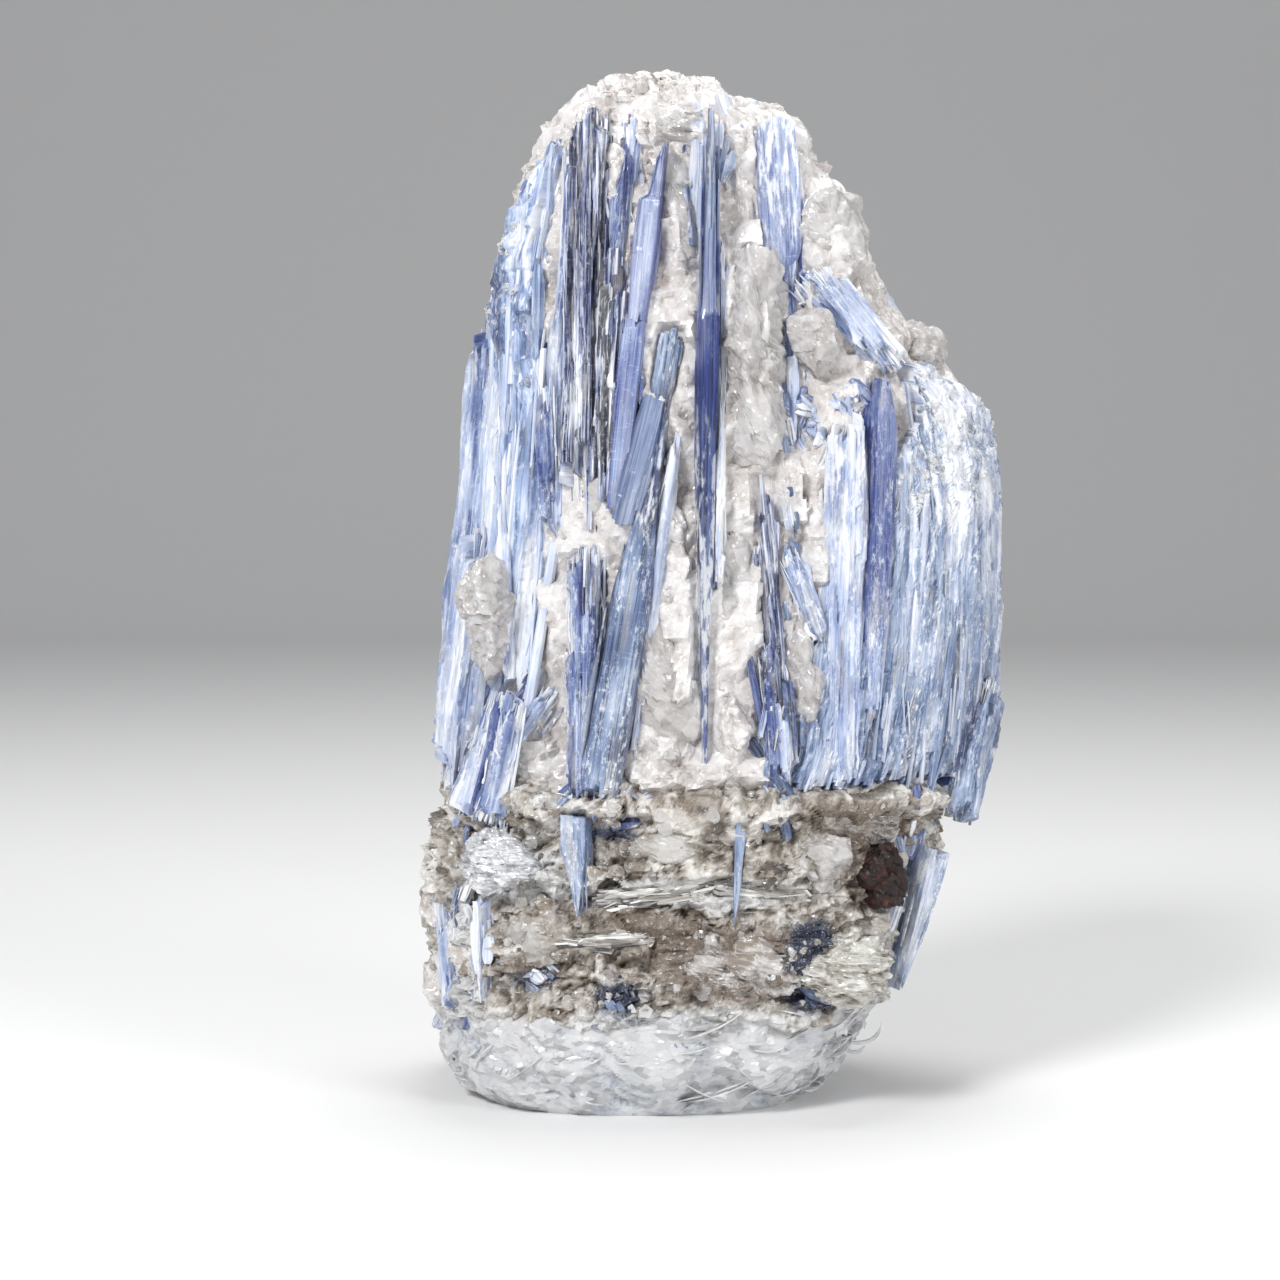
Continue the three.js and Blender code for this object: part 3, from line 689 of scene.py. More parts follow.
# A broken block: along each way from its middle it reaches to the nearest of its own planes, at
# 1 / (sum of (n . way / d)^12)^(1/12), which rounds the edges a little; smaller grains break its faces.
def lump(centre, reach, grain, seed, rows=96, columns=96, relief=0.5, planes=16, layers=1.0):
    rng = np.random.default_rng(seed)
    ways, triangles = ballWays(rows, columns)
    normals = unit(rng.normal(size=(planes, 3)))
    facing = np.maximum(ways @ normals.T, 0) / rng.uniform(0.72, 1.0, planes)
    points = ways / np.maximum(np.sum(facing**12, 1, keepdims=True), 0.25) ** (1 / 12) * np.array(reach)
    push = np.stack([softNoise(points / grain, seed + k) for k in (1, 2, 3)], -1)
    warped = points * np.array([1, 1, layers]) + 31.7 * seed + 0.25 * grain * push
    fine = facetRelief(warped, grain * 0.33, relief * 0.3, seed + 5)[0]
    fine = fine + 0.05 * layeredNoise(points / 0.35, 2, seed)
    high, own = facetRelief(warped, grain, relief, seed)
    high = high + fine
    broad = 0.1 * np.min(reach) * layeredNoise(points / 3.4 + seed, 3, seed)
    points = points + ways * (high + broad)[:, None]
    # painted shade and highlight: tone is lower in the hollows between grains and higher on raised facets
    values = {"tone": np.clip(0.5 + 1.2 * fine / relief + 0.25 * high / relief, 0, 1), "grain": own}
    return points + np.array(centre), triangles, values


# Height of a broken granular face, as packed many-sided grains: how far the nearest grain lies, where
# the distance to a grain is the greatest of the offset along each of its own few face directions; and
# that grain's own number.
def facetRelief(points, grain, relief, seed, faces=5):
    points = points / grain
    base = np.floor(points).astype(np.int64)
    near = np.full(points.shape[:-1], 9.0)
    own = 0 * near
    for step in np.ndindex(3, 3, 3):
        cell = base + np.array(step) - 1
        index = np.moveaxis(cell, -1, 0)
        middle = cell + np.stack([latticeNumber(*index, seed + k) for k in range(3)], -1)
        distance = np.full(near.shape, -9.0)
        for face in range(faces):
            turn = 2 * np.pi * (face / faces + 0.15 * latticeNumber(*index, seed + 20 + face))
            rise = 2 * latticeNumber(*index, seed + 40 + face) - 1
            flat = np.sqrt(1 - rise * rise)
            way = np.stack([flat * np.cos(turn), flat * np.sin(turn), rise], -1)
            distance = np.maximum(distance, np.sum((points - middle) * way, -1))
        own = np.where(distance < near, latticeNumber(*index, seed + 60), own)
        near = np.minimum(near, distance)
    return -2 * relief * (np.clip(near, -0.12, 1.0) - 0.3), own


# The rock: quartz above, mica schist below it, flaky mica at the base

rock = {
    # height, then how far it reaches left, right, front and back, all in mm
    "outline": ((0, -24.5, 9.5, -15.2, 15.2), (2.5, -26.8, 12.5, -16.8, 16.8), (5, -28, 14.6, -18, 18),
                (14, -28.4, 18.6, -18.4, 18.6), (22, -29, 21, -18.2, 18.8), (27, -28, 22.6, -17.8, 18.8),
                (31, -27.2, 24.4, -17.4, 19), (36, -25.8, 26, -15.9, 18.8), (48, -24.6, 27.4, -15, 18.4),
                (60, -23, 27.6, -14.8, 17.8), (70, -22, 25.8, -14.8, 16.8), (75.5, -21.8, 21.8, -14.6, 16.2),
                (80, -21.6, 17.6, -14.2, 15.4), (86, -20.8, 14.8, -13.2, 14.2), (92, -19.2, 12, -12.2, 13),
                (97.6, -16.6, 9, -10.8, 11.6), (99.6, -15.2, 5, -9.6, 10.6), (102.4, -12.6, 2.6, -7.8, 8.8)),
    "squareness": 0.8,        # 1 is an oval in plan, less is squarer
    "frontCrowding": 0.42,    # how much closer the columns of a shell lie at the front
    # hollows and swellings of the front: x, height, half width, half height, how far in
    "dents": ((11.4, 73.6, 2.6, 1.4, 2.6), (8.2, 60, 1.3, 2.8, 1.8), (8.4, 54, 1.6, 3, 1.2),
              (1.2, 52, 1.6, 9, 1.4),
              (17.5, 29, 5, 1.6, 2.6), (-20.6, 25.4, 5, 3.4, 1.4), (-10, 27, 5, 1.2, 1.6),
              (2, 21, 7, 1.2, 1.4),
              (-4, 15.5, 9, 1, 1.5), (8, 11, 7, 1.2, 1.6), (-18, 13, 3, 1.2, 1.2)),
    "swells": ((-5, 43, 3.4, 8, 1.3), (-3.8, 86, 2.2, 9, 1.6), (3.4, 75, 3.4, 11, 0.8),
               (11, 86.5, 3.4, 5, 1.2),
               (8.6, 34, 3, 5, 0.8), (-6, 30, 12, 3, 0.9), (14, 24, 4, 5, 1)),
}


# Rows up a shell: height and share of the full outline. It rounds over to a point at both ends.
def shellRows(low, high, step, lowCap, highCap):
    z = np.arange(low, high + step / 2, step)
    bend = np.linspace(0, np.pi / 2, 26)[1:-1]
    z = np.concatenate([(low - lowCap * np.sin(bend))[::-1], z, high + highCap * np.sin(bend)])
    share = np.concatenate([np.cos(bend)[::-1], np.ones(len(z) - 2 * len(bend)), np.cos(bend)])
    return z, share


# How far the outline reaches left, right, front and back at height z.
def outlineAt(z):
    table = np.array(rock["outline"])
    return (np.interp(z, table[:, 0], table[:, k]) for k in range(1, 5))


# A squarish oval at each height: x and y are the middle plus sign(c)|c|^squareness of the angle's
# cosine and sine times the half sizes. The surface then moves along its own normal by relief(points).
def rockShell(z, share, relief, columns):
    left, right, front, back = (side[:, None] for side in outlineAt(z))
    turn = np.linspace(0, 2 * np.pi, columns, endpoint=False)[None, :]
    angle = turn - rock["frontCrowding"] * np.cos(turn)
    swell = lambda way: np.sign(way) * np.abs(way) ** rock["squareness"] * share[:, None]
    x = (left + right) / 2 + swell(np.cos(angle)) * (right - left) / 2
    y = (front + back) / 2 + swell(np.sin(angle)) * (back - front) / 2
    points = np.stack([x, y, z[:, None] + 0 * x], -1)
    across = np.roll(points, -1, 1) - np.roll(points, 1, 1)
    normal = unit(np.cross(across, np.gradient(points, axis=0)))
    height, fine, grain = relief(points, normal)
    height = covered(height, (np.degrees(angle) + 270) % 360 - 180 + 0 * x, z[:, None] + 0 * x)
    points = seated(points + normal * height[..., None])
    # painted shade: tone follows the fine relief, darker in hollows than on edges
    tone = np.clip(0.5 + fine, 0, 1)
    ends = points[[0, -1]].mean(1)
    return (np.concatenate([points.reshape(-1, 3), ends]), closedTriangles(len(z), columns),
            np.concatenate([normal.reshape(-1, 3), [[0, 0, -1], [0, 0, 1]]]),
            {"tone": np.concatenate([tone.ravel(), [0.5, 0.5]]),
             "grain": np.concatenate([grain.ravel(), [0.5, 0.5]])})


# How far forward the plain outline reaches at x and height z.
def frontAt(x, z):
    left, right, front, back = outlineAt(z)
    share = np.minimum(np.abs(x - (left + right) / 2) / ((right - left) / 2), 0.999)
    forward = (1 - share ** (2 / rock["squareness"])) ** (rock["squareness"] / 2)
    return (front + back) / 2 - (back - front) / 2 * forward


# The place on the plain outline at a turn from the front (degrees, right is +90) and a height.
def roundAt(turn, z):
    left, right, front, back = outlineAt(z)
    sine, cosine = np.sin(np.radians(turn)), -np.cos(np.radians(turn))
    x = (left + right) / 2 + np.sign(sine) * np.abs(sine) ** rock["squareness"] * (right - left) / 2
    y = (front + back) / 2 + np.sign(cosine) * np.abs(cosine) ** rock["squareness"] * (back - front) / 2
    return np.stack(np.broadcast_arrays(x, y, z), -1)


# The way out of it there: the slope of |x / rx|^(2 / squareness) + |y / ry|^(2 / squareness).
def outwardAt(turn, z):
    left, right, front, back = outlineAt(z)
    sine, cosine = np.sin(np.radians(turn)), -np.cos(np.radians(turn))
    x = np.sign(sine) * np.abs(sine) ** (2 - rock["squareness"]) / (right - left)
    y = np.sign(cosine) * np.abs(cosine) ** (2 - rock["squareness"]) / (back - front)
    return unit(np.stack(np.broadcast_arrays(x, y, 0 * z), -1))


# Turns as mm round the outline at mid height, and back.
def arcOf(turn):
    turns = np.linspace(-180, 180, 721)
    steps = np.linalg.norm(np.diff(roundAt(turns, 50 + 0 * turns), axis=0), axis=1)
    arcs = np.concatenate([[0], np.cumsum(steps)])
    return np.interp(turn, turns, arcs - arcs[360])


def turnOf(arc):
    turns = np.linspace(-180, 180, 721)
    return np.interp(arc, arcOf(turns), turns)


# The height of the rock's relief, kept lower where a curtain covers it.
def covered(height, turn, z):
    for shape in curtains.values():
        edges = np.array(shape["edges"], float)
        left, right = (arcOf(np.interp(z, edges[:, 0], edges[:, k])) for k in (1, 2))
        arc = arcOf(turn)
        t = np.clip((arc - left) / (right - left), 0, 1)
        low, high = curtainReach(shape, t)
        inside = smoothStep(0.4, 1.6, np.minimum(arc - left, right - arc))
        inside = inside * smoothStep(0.3, 1.5, np.minimum(z - low, high - z))
        height = height - inside * np.maximum(height - curtainProud(shape, t) + 1.3, 0)
    return height


# A line laid on the plain outline, in the terms of lineOf, from turns and heights or from x and heights.
def lineRound(footTurn, footZ, topTurn, topZ, width, depth, proud):
    foot, top = roundAt(footTurn, footZ), roundAt(topTurn, topZ)
    turn = np.radians((footTurn + topTurn) / 2)
    outer = np.array([np.sin(turn), -np.cos(turn), 0])
    return lineBetween(foot + outer * proud, top + outer * proud, outer, width, depth)


def lineAt(footX, footZ, topX, topZ, width, depth, proud, topSunk=0.0):
    foot = np.array([footX, frontAt(footX, footZ) - proud, footZ])
    top = np.array([topX, frontAt(topX, topZ) - proud + topSunk, topZ])
    return lineBetween(foot, top, np.array([(footX + topX) * 0.0175, -1, 0]), width, depth)


def lineBetween(foot, top, outer, width, depth):
    along = unit(top - foot)
    outer = unit(outer - along * (outer @ along))
    return {"foot": foot, "top": top, "across": np.cross(along, outer), "outer": outer, "along": along,
            "width": width, "depth": depth, "length": np.linalg.norm(top - foot)}


# Points of the rock moved in under each blade or sheaf, below a level of each one's own, so that the
# crystal stands out of it.
def seated(points):
    for node, line in {**lines, **laid}.items():
        way = points - line["foot"]
        s, u, v = (way @ line[key] for key in ("along", "across", "outer"))
        half = line["width"] / 2 * bedOf(node).get("wider", 1)
        inside = smoothStep(half + 0.25, half - 0.35, np.abs(u)) * smoothStep(0.3, 2.6, s)
        inside = inside * smoothStep(line["length"] + 0.4, line["length"] - 0.4, s)
        over = np.maximum(v - line["depth"] / 2 * bedOf(node).get("bed", 0.45), 0) * inside
        points = points - line["outer"] * over[..., None]
    return points


# Hollows and swellings: each a bell over its own width and height, on the front only.
def frontShape(points, normal):
    x, z = points[..., 0], points[..., 2]
    bell = lambda f: f[4] * np.exp(-(((x - f[0]) / f[2]) ** 2) - ((z - f[1]) / f[3]) ** 2)
    swell, dent = (sum(bell(f) for f in rock[key]) for key in ("swells", "dents"))
    return smoothStep(0.1, 0.6, -normal[..., 1]) * (swell - dent)


# Each relief gives the height; its fine part, which is also painted into the tone as shade, darker in
# hollows than on edges; and which grain each point belongs to.
def quartzRelief(points, normal):
    border = 32 + 1.6 * softNoise(points / 4.5, 61) + 0.8 * softNoise(points / 1.6, 62)
    warped = points + 0.8 * np.stack([softNoise(points / 2.4, k) for k in (1, 2, 3)], -1)
    block, blockGrain = facetRelief(warped * np.array([1, 1, 0.75]), 4.4, 1.5, 21)
    middle, grain = facetRelief(warped, 1.8, 0.5, 22)
    fine = facetRelief(points, 0.8, 0.1, 23)[0] + 0.03 * layeredNoise(points / 0.6, 2, 24)
    broad = 0.8 * layeredNoise(points / 9, 2, 11) + block
    high = broad + middle + fine + frontShape(points, normal)
    high = high - 3.5 * smoothStep(1, -1.5, points[..., 2] - border)
    return high, 0.15 * broad + 0.6 * middle + 1.6 * fine, 0.5 * blockGrain + 0.5 * grain


def schistRelief(points, normal):
    z = points[..., 2]
    top = 32.5 + 1.6 * softNoise(points / 4.5, 61) + 0.8 * softNoise(points / 1.6, 62)
    low = 9.5 + 1.2 * softNoise(points / 4, 63) + 0.5 * softNoise(points / 1.4, 64)
    push = np.stack([softNoise(points / 2.6, k) for k in (4, 5, 6)], -1)
    layered = (points + 1.3 * push) * np.array([1, 1, 1.4])
    block, blockGrain = facetRelief(layered, 3.2, 1.7, 41)
    middle, grain = facetRelief(layered, 1.3, 0.65, 42)
    middle = middle + 0.3 * (creased(points / 3.3, 3, 45) - 0.55)
    band = np.exp(-(((z - 22.5 - 0.05 * points[..., 0]) / 2.4) ** 2))
    middle = middle + band * 1.5 * (creased(points * np.array([0.16, 0.16, 1.5]), 3, 44) - 0.6)
    fine = facetRelief(points, 0.55, 0.2, 43)[0] + 0.05 * layeredNoise(points / 0.5, 2, 46)
    broad = 0.8 * layeredNoise(points / 6.5, 2, 31) + block
    lip = 1.5 * np.exp(-(((z - 30.5) / 2.2) ** 2)) * smoothStep(0.3, 0.9, -normal[..., 1])
    high = broad + middle + fine + lip + frontShape(points, normal)
    high = high - 3.2 * smoothStep(-1, 1.5, z - top) - 3 * smoothStep(1, -1.2, z - low)
    return high, 0.12 * broad + 0.5 * middle + 1.4 * fine, 0.5 * blockGrain + 0.5 * grain


def micaRelief(points, normal):
    z = points[..., 2]
    bent = points + 1.6 * np.stack([softNoise(points / 4, k) for k in (7, 8, 9)], -1)
    slant = bent[..., 2:] + 0.3 * bent[..., :1]
    sheets = lambda wide, thick: np.concatenate([bent[..., :2] / wide, slant / thick], -1)
    broad = 1.0 * layeredNoise(points / 5, 2, 52) + 0.9 * (creased(sheets(8, 3.4), 2, 51) - 0.5)
    fine = 0.34 * (creased(sheets(4.5, 1.1), 4, 54) - 0.5)
    plates = np.concatenate([bent[..., :2], slant * 1.6], -1)
    sheet, grain = facetRelief(plates, 3.0, 0.28, 53)
    small, smallGrain = facetRelief(plates, 1.0, 0.08, 55)
    sheet, grain = sheet + small, 0.5 * grain + 0.5 * smallGrain
    high = (broad + fine + sheet) * smoothStep(0, 1.6, z)
    high = high - 3.4 * smoothStep(9.6, 12, z + softNoise(points / 4, 63))
    return high, 0.15 * broad + 1.2 * fine + 0.6 * sheet + 1.6 * small, grain


# Finishes

deepBlue, royalBlue, steelBlue = (0.012, 0.02, 0.07), (0.045, 0.075, 0.27), (0.14, 0.19, 0.38)
softBlue, paleBlue, silkWhite = (0.32, 0.40, 0.61), (0.55, 0.62, 0.79), (0.86, 0.875, 0.90)


# Kyanite: hair-fine and broad streaks along the blade move a blade's tone up and down a ramp from deep
# blue to white; painted shade darkens grooves; cleavage cracks and powder (partly painted glints) whiten it.
def kyaniteFinish(name, **own):
    look = kyanite | own
    p = Paint(name)
    space = p.attribute("bladeSpace", "Vector")
    tone, lilac, soot, frost = (p.attribute(key) for key in ("tone", "lilac", "soot", "frost"))
    hair = p.noise(p.scaled(space, (8, 4, 0.17)), detail=4)
    streak = p.noise(p.scaled(space, (2.4, 1.4, 0.06)), detail=2)
    cloud = p.noise(p.scaled(space, (0.5, 0.5, 0.16)), detail=2)
    value = (tone + (hair - 0.5) * look["hair"] + (streak - 0.5) * look["streak"]
             + (cloud - 0.5) * look["cloud"])
    colour = p.ramp(value, look["stops"])
    colour = p.mix(lilac * 0.9, colour, p.ramp(value, look["lilacStops"]))
    # painted shade: the grooves, where the bump sinks, are darkened towards near black
    groove = p.between(p.noise(p.scaled(space, (3.2, 2.5, 0.06)), detail=3) - soot * 0.06, 0.38, 0.46, 1, 0)
    groove = p.between(groove * soot * 1.6, 0, 1)
    colour = p.mix(groove * 0.92, colour, (0.010, 0.012, 0.024))
    grime = p.between(p.noise(p.scaled(space, (0.9, 0.9, 0.12)), detail=4), 0.53, 0.64)
    colour = p.mix(grime * look["grime"], colour, (0.50, 0.47, 0.43))
    part = p.noise(p.scaled(space, (0.25, 0.1, 2.2)), detail=1)
    crack = p.between(part, 0.497, 0.503) * p.between(part, 0.503, 0.509, 1, 0)
    # powder: white specks of dust that also stand in for painted glints
    clump = p.between(p.noise(p.scaled(space, (0.6, 0.5, 0.2)), detail=3), 0.4, 0.58)
    powder = p.between(p.noise(p.scaled(space, (2.6, 2.6, 1.1)), 1, 6, 0.8), 0.51, 0.62) * clump
    dust = p.between(p.noise(p.scaled(space, (1.6, 1, 0.35)), 1, 5, 0.65) + frost * 0.35, 0.62, 0.72)
    white = crack * look["crack"] + powder * look["powder"] * p.between(tone, 0.1, 0.7, 0.25, 1)
    white = p.between(white + dust * p.between(frost, 0, 0.6, look["dust"], 1), 0, 1)
    colour = p.mix(white, colour, (0.80, 0.82, 0.86))
    rough = p.between(hair, 0.3, 0.7, *look["roughness"]) + white * 0.15
    height = hair * 0.7 + streak * 0.6 - groove * 0.5 + white * 0.15
    return p.finish({"Base Color": colour, "Roughness": rough,
                     "Normal": p.bump(height, 0.7, look["relief"] * mm), "IOR": 1.72,
                     "Transmission Weight": look["clear"]})


blueStops = ((0.0, deepBlue), (0.22, royalBlue), (0.42, steelBlue), (0.6, softBlue), (0.78, paleBlue),
             (0.96, silkWhite))
lilacStops = ((0.0, (0.06, 0.06, 0.30)), (0.3, (0.15, 0.15, 0.46)), (0.55, (0.36, 0.36, 0.64)),
              (0.8, (0.64, 0.64, 0.82)), (1.0, (0.88, 0.88, 0.92)))
kyanite = {"stops": blueStops, "lilacStops": lilacStops, "hair": 0.55, "streak": 0.75, "cloud": 0.5,
           "crack": 0.5, "dust": 0.25, "grime": 0.15, "powder": 0.4, "roughness": (0.22, 0.5), "relief": 0.07,
           "clear": 0.0}
steelStops = ((0.0, (0.010, 0.013, 0.045)), (0.2, (0.04, 0.05, 0.14)), (0.38, (0.13, 0.16, 0.31)),
              (0.55, (0.32, 0.37, 0.53)), (0.72, (0.55, 0.59, 0.71)), (0.92, (0.86, 0.875, 0.90)))
slateStops = ((0.0, (0.012, 0.018, 0.05)), (0.2, (0.042, 0.07, 0.18)), (0.4, (0.12, 0.18, 0.325)),
              (0.58, (0.29, 0.37, 0.53)), (0.76, (0.55, 0.60, 0.74)), (0.95, (0.86, 0.875, 0.90)))
skyStops = ((0.0, (0.012, 0.02, 0.06)), (0.22, (0.05, 0.085, 0.22)), (0.42, (0.16, 0.235, 0.42)),
            (0.6, (0.35, 0.455, 0.70)), (0.78, (0.60, 0.69, 0.89)), (0.96, (0.88, 0.90, 0.94)))
foilStops = ((0.0, (0.05, 0.045, 0.04)), (0.3, (0.20, 0.18, 0.155)), (0.6, (0.50, 0.475, 0.43)),
             (0.85, (0.86, 0.85, 0.82)))


# Quartz: warm grey-white, clouded, glassy; veils whiten it, as do painted glints and painted rim highlights.
def quartzFinish(name, look):
    p = Paint(name)
    place = p.scaled(p.place(), 1 / mm)
    cloud = p.noise(place, 0.22, 3, 0.5)
    bent = p.bent(place, 0.8, 1.0)
    veil = p.noise(bent, 0.9, 4, 0.6)
    tone, grain = p.attribute("tone"), p.attribute("grain")
    own = p.node("ShaderNodeSeparateXYZ", None, {0: p.cells(bent, look["cell"], output=1)})
    crown = p.between(p.node("ShaderNodeSeparateXYZ", None, {0: place}, 2), 84, 98, 0, 0.1)
    value = cloud * 0.34 + veil * 0.2 + tone * 0.26 + grain * 0.24 + own * 0.2 - 0.1 + crown
    colour = p.ramp(value, look["stops"])
    stain = p.between(p.noise(place, 0.16, 3), 0.52, 0.68) * look["stain"]
    colour = p.mix(stain, colour, (0.46, 0.37, 0.28))
    fold = p.noise(p.scaled(place, (1, 1, 0.7)), 0.5, 3, 0.55)
    crease = p.between(fold, 0.485, 0.5) * p.between(fold, 0.5, 0.515, 1, 0)
    # painted highlight: a thin white rim along the edge of each grain
    rim = p.between(p.cells(bent, look["cell"], "DISTANCE_TO_EDGE"), 0.0, 0.055, 1, 0)
    rim = rim * p.between(veil, 0.44, 0.56)
    # painted glints: small white specks
    glint = p.between(p.noise(place, 5, 2), 0.63, 0.7)
    white = glint * look["powder"] + crease * look["veil"] * p.between(veil, 0.4, 0.55)
    # painted highlight: the highest tone, on raised edges, is whitened
    white = p.between(white + rim * look["rim"] + p.between(tone, 0.7, 0.95, 0, 0.5), 0, 1)
    colour = p.mix(white, colour, (0.90, 0.895, 0.89))
    rough = p.between(veil, 0.35, 0.65, *look["roughness"])
    chipped = p.facets(bent, look["cell"]) + p.facets(place, 2.3) * 0.5
    return p.finish({"Base Color": colour, "Roughness": rough,
                     "Normal": p.bump(chipped, 0.8, look["relief"] * mm), "IOR": 1.544,
                     "Transmission Weight": look["clear"]})


quartzStops = ((0.2, (0.36, 0.325, 0.305)), (0.4, (0.55, 0.51, 0.49)), (0.6, (0.70, 0.665, 0.645)),
               (0.8, (0.84, 0.81, 0.80)))
milkyQuartz = {"stops": quartzStops, "stain": 0.25, "powder": 0.5, "veil": 0.6, "rim": 0.7, "cell": 0.75,
               "roughness": (0.06, 0.28), "relief": 0.7, "clear": 0.0}
glassyQuartz = dict(milkyQuartz,
                    stops=((0.2, (0.42, 0.385, 0.37)), (0.4, (0.63, 0.595, 0.58)), (0.6, (0.80, 0.77, 0.755)),
                           (0.8, (0.94, 0.92, 0.91))), stain=0.15, roughness=(0.03, 0.16), cell=0.55, rim=0.9,
                    relief=0.8, clear=0.35)
warmQuartz = dict(milkyQuartz,
                  stops=((0.25, (0.36, 0.31, 0.26)), (0.42, (0.58, 0.52, 0.46)), (0.56, (0.74, 0.70, 0.65)),
                         (0.75, (0.86, 0.84, 0.80))), stain=0.6, clear=0.35, roughness=(0.05, 0.3))
smokyQuartz = dict(milkyQuartz,
                   stops=((0.25, (0.10, 0.085, 0.075)), (0.42, (0.22, 0.19, 0.17)),
                          (0.56, (0.38, 0.34, 0.31)), (0.75, (0.60, 0.57, 0.54))), powder=0.35, stain=0.4,
                   clear=0.15)


# Schist: grains of grey quartz, beige and brown earth between them, dark specks and blue remnants.
def schistFinish(name, look):
    p = Paint(name)
    place = p.scaled(p.place(), 1 / mm)
    patch = p.noise(place, 0.17, 4, 0.6)
    fine = p.noise(place, 1.8, 5, 0.65)
    tone = p.attribute("tone")
    grain = p.attribute("grain")
    colour = p.ramp(fine * 0.3 + patch * 0.45 + tone * 0.42 + grain * 0.55 - 0.4, look["stops"])
    rust = p.between(p.noise(place, 0.2, 4), 0.54, 0.64) * p.between(fine, 0.4, 0.62)
    colour = p.mix(rust * look["rust"], colour, (0.16, 0.10, 0.06))
    dark = p.between(p.noise(place, 0.8, 4), 0.62, 0.7)
    colour = p.mix(dark * 0.7, colour, (0.05, 0.045, 0.045))
    for stain, (shade, share) in look["stains"].items():
        amount = p.between(p.attribute(stain) + fine * 0.7 + grain * 0.3, 0.75, 1.0)
        colour = p.mix(amount * share, colour, shade)
    # silver specks: silvery mica flakes, painted nearly white as glints too
    silver = p.between(p.noise(p.scaled(place, (1, 1, 2.2)), 5, 3), 0.62, 0.68)
    colour = p.mix(silver * 0.6, colour, (0.88, 0.89, 0.9))
    height = p.facets(place, 0.9) + p.facets(place, 2.2) + fine * 0.1
    return p.finish({"Base Color": colour, "Roughness": p.between(grain, 0.3, 0.8, 0.5, 0.16), "IOR": 1.52,
                     "Normal": p.bump(height, 0.8, look["relief"] * mm)})


schist = {"stops": ((0.2, (0.07, 0.058, 0.048)), (0.38, (0.24, 0.205, 0.17)), (0.55, (0.48, 0.44, 0.39)),
                    (0.75, (0.80, 0.775, 0.74))), "rust": 0.8, "relief": 0.8,
          "stains": {"brown": ((0.19, 0.145, 0.11), 0.85), "blueBlack": ((0.035, 0.048, 0.095), 0.92),
                     "silvery": ((0.72, 0.73, 0.74), 0.7)}}


# Mica: silvery or icy plates, with fine parallel cleavage lines; painted glints and painted highlights on
# folds.
def micaFinish(name, look):
    p = Paint(name)
    place = p.scaled(p.place(), 1 / mm)
    tone = p.attribute("tone")
    swept = p.bent(place, 0.12, look["sweep"])
    line = p.noise(p.scaled(swept, (0.4, 0.4, 4)), 1, 5, 0.6)
    value = tone * 0.4 + line * 0.5 + p.noise(place, 0.7, 4) * 0.3 + p.noise(place, 3, 3, 0.7) * 0.25 - 0.15
    # the frosted patches come out lighter: whiter mica, and partly a painted highlight
    value = value + (p.noise(place, 0.14, 2) - 0.5) * look["broad"] + p.attribute("frosted") * 0.12
    colour = p.ramp(value + (p.attribute("grain") - 0.5) * look["patchy"], look["stops"])
    # painted highlights: thin white lines along the edges of the sweeping folds
    fold = p.noise(p.scaled(swept, (0.3, 0.3, 1.3)), 1, 4, 0.5)
    edge = p.between(fold, 0.488, 0.5) * p.between(fold, 0.5, 0.512, 1, 0) * look["edges"]
    colour = p.mix(edge, colour, (0.93, 0.94, 0.96))
    # painted glints: white specks, more of them on the frosted patches
    spark = p.noise(p.scaled(place, (1, 1, 2)), 2.2, 4, 0.7) + p.attribute("frosted") * 0.16
    colour = p.mix(p.between(spark, 0.62, 0.7) * look["spark"], colour, (0.98, 0.985, 1.0))
    height = p.facets(p.scaled(place, (1, 1, look["flat"])), look["plates"]) + line * 0.1
    return p.finish({"Base Color": colour, "Roughness": p.between(line, 0.3, 0.7, *look["roughness"]),
                     "IOR": 1.58, "Metallic": look["metal"], "Transmission Weight": look["clear"],
                     "Normal": p.bump(height, 0.8, look["relief"] * mm)})


silverMica = {"spark": 0.3, "broad": 0.0, "patchy": 0.1, "edges": 0.0, "sweep": 0.0,
              "stops": ((0.3, (0.10, 0.10, 0.11)), (0.45, (0.36, 0.37, 0.38)), (0.6, (0.70, 0.71, 0.73)),
                        (0.8, (0.92, 0.93, 0.95))), "roughness": (0.12, 0.35), "metal": 0.45, "clear": 0.0,
              "relief": 0.9, "flat": 2.0, "plates": 1.6}
icyMica = {"spark": 1.0, "broad": 0.5, "patchy": 0.14, "edges": 0.9, "sweep": 9.0,
           "stops": ((0.32, (0.36, 0.41, 0.50)), (0.43, (0.64, 0.69, 0.78)), (0.54, (0.88, 0.91, 0.95)),
                     (0.66, (0.99, 0.99, 1.0))), "roughness": (0.03, 0.2), "metal": 0.0, "clear": 0.35,
           "relief": 0.9, "flat": 1.8, "plates": 0.9}
creamyMica = dict(silverMica, metal=0.1, patchy=0.3,
                  stops=((0.3, (0.10, 0.09, 0.075)), (0.45, (0.38, 0.35, 0.31)), (0.6, (0.56, 0.54, 0.49)),
                         (0.8, (0.76, 0.75, 0.71))))


garnetStops = ((0.38, (0.008, 0.004, 0.003)), (0.54, (0.020, 0.008, 0.006)), (0.64, (0.09, 0.028, 0.018)),
               (0.78, (0.28, 0.16, 0.10)))


# Garnet: nearly black, rusty where it is weathered.
def garnetFinish(name):
    p = Paint(name)
    place = p.scaled(p.place(), 1 / mm)
    grain = p.noise(place, 0.9, 5, 0.65)
    colour = p.ramp(grain, garnetStops)
    return p.finish({"Base Color": colour, "Roughness": p.between(grain, 0.35, 0.65, 0.2, 0.8), "IOR": 1.8,
                     "Specular IOR Level": 0.2,
                     "Normal": p.bump(p.cells(place, 1.3) + grain, 0.8, 0.25 * mm)})


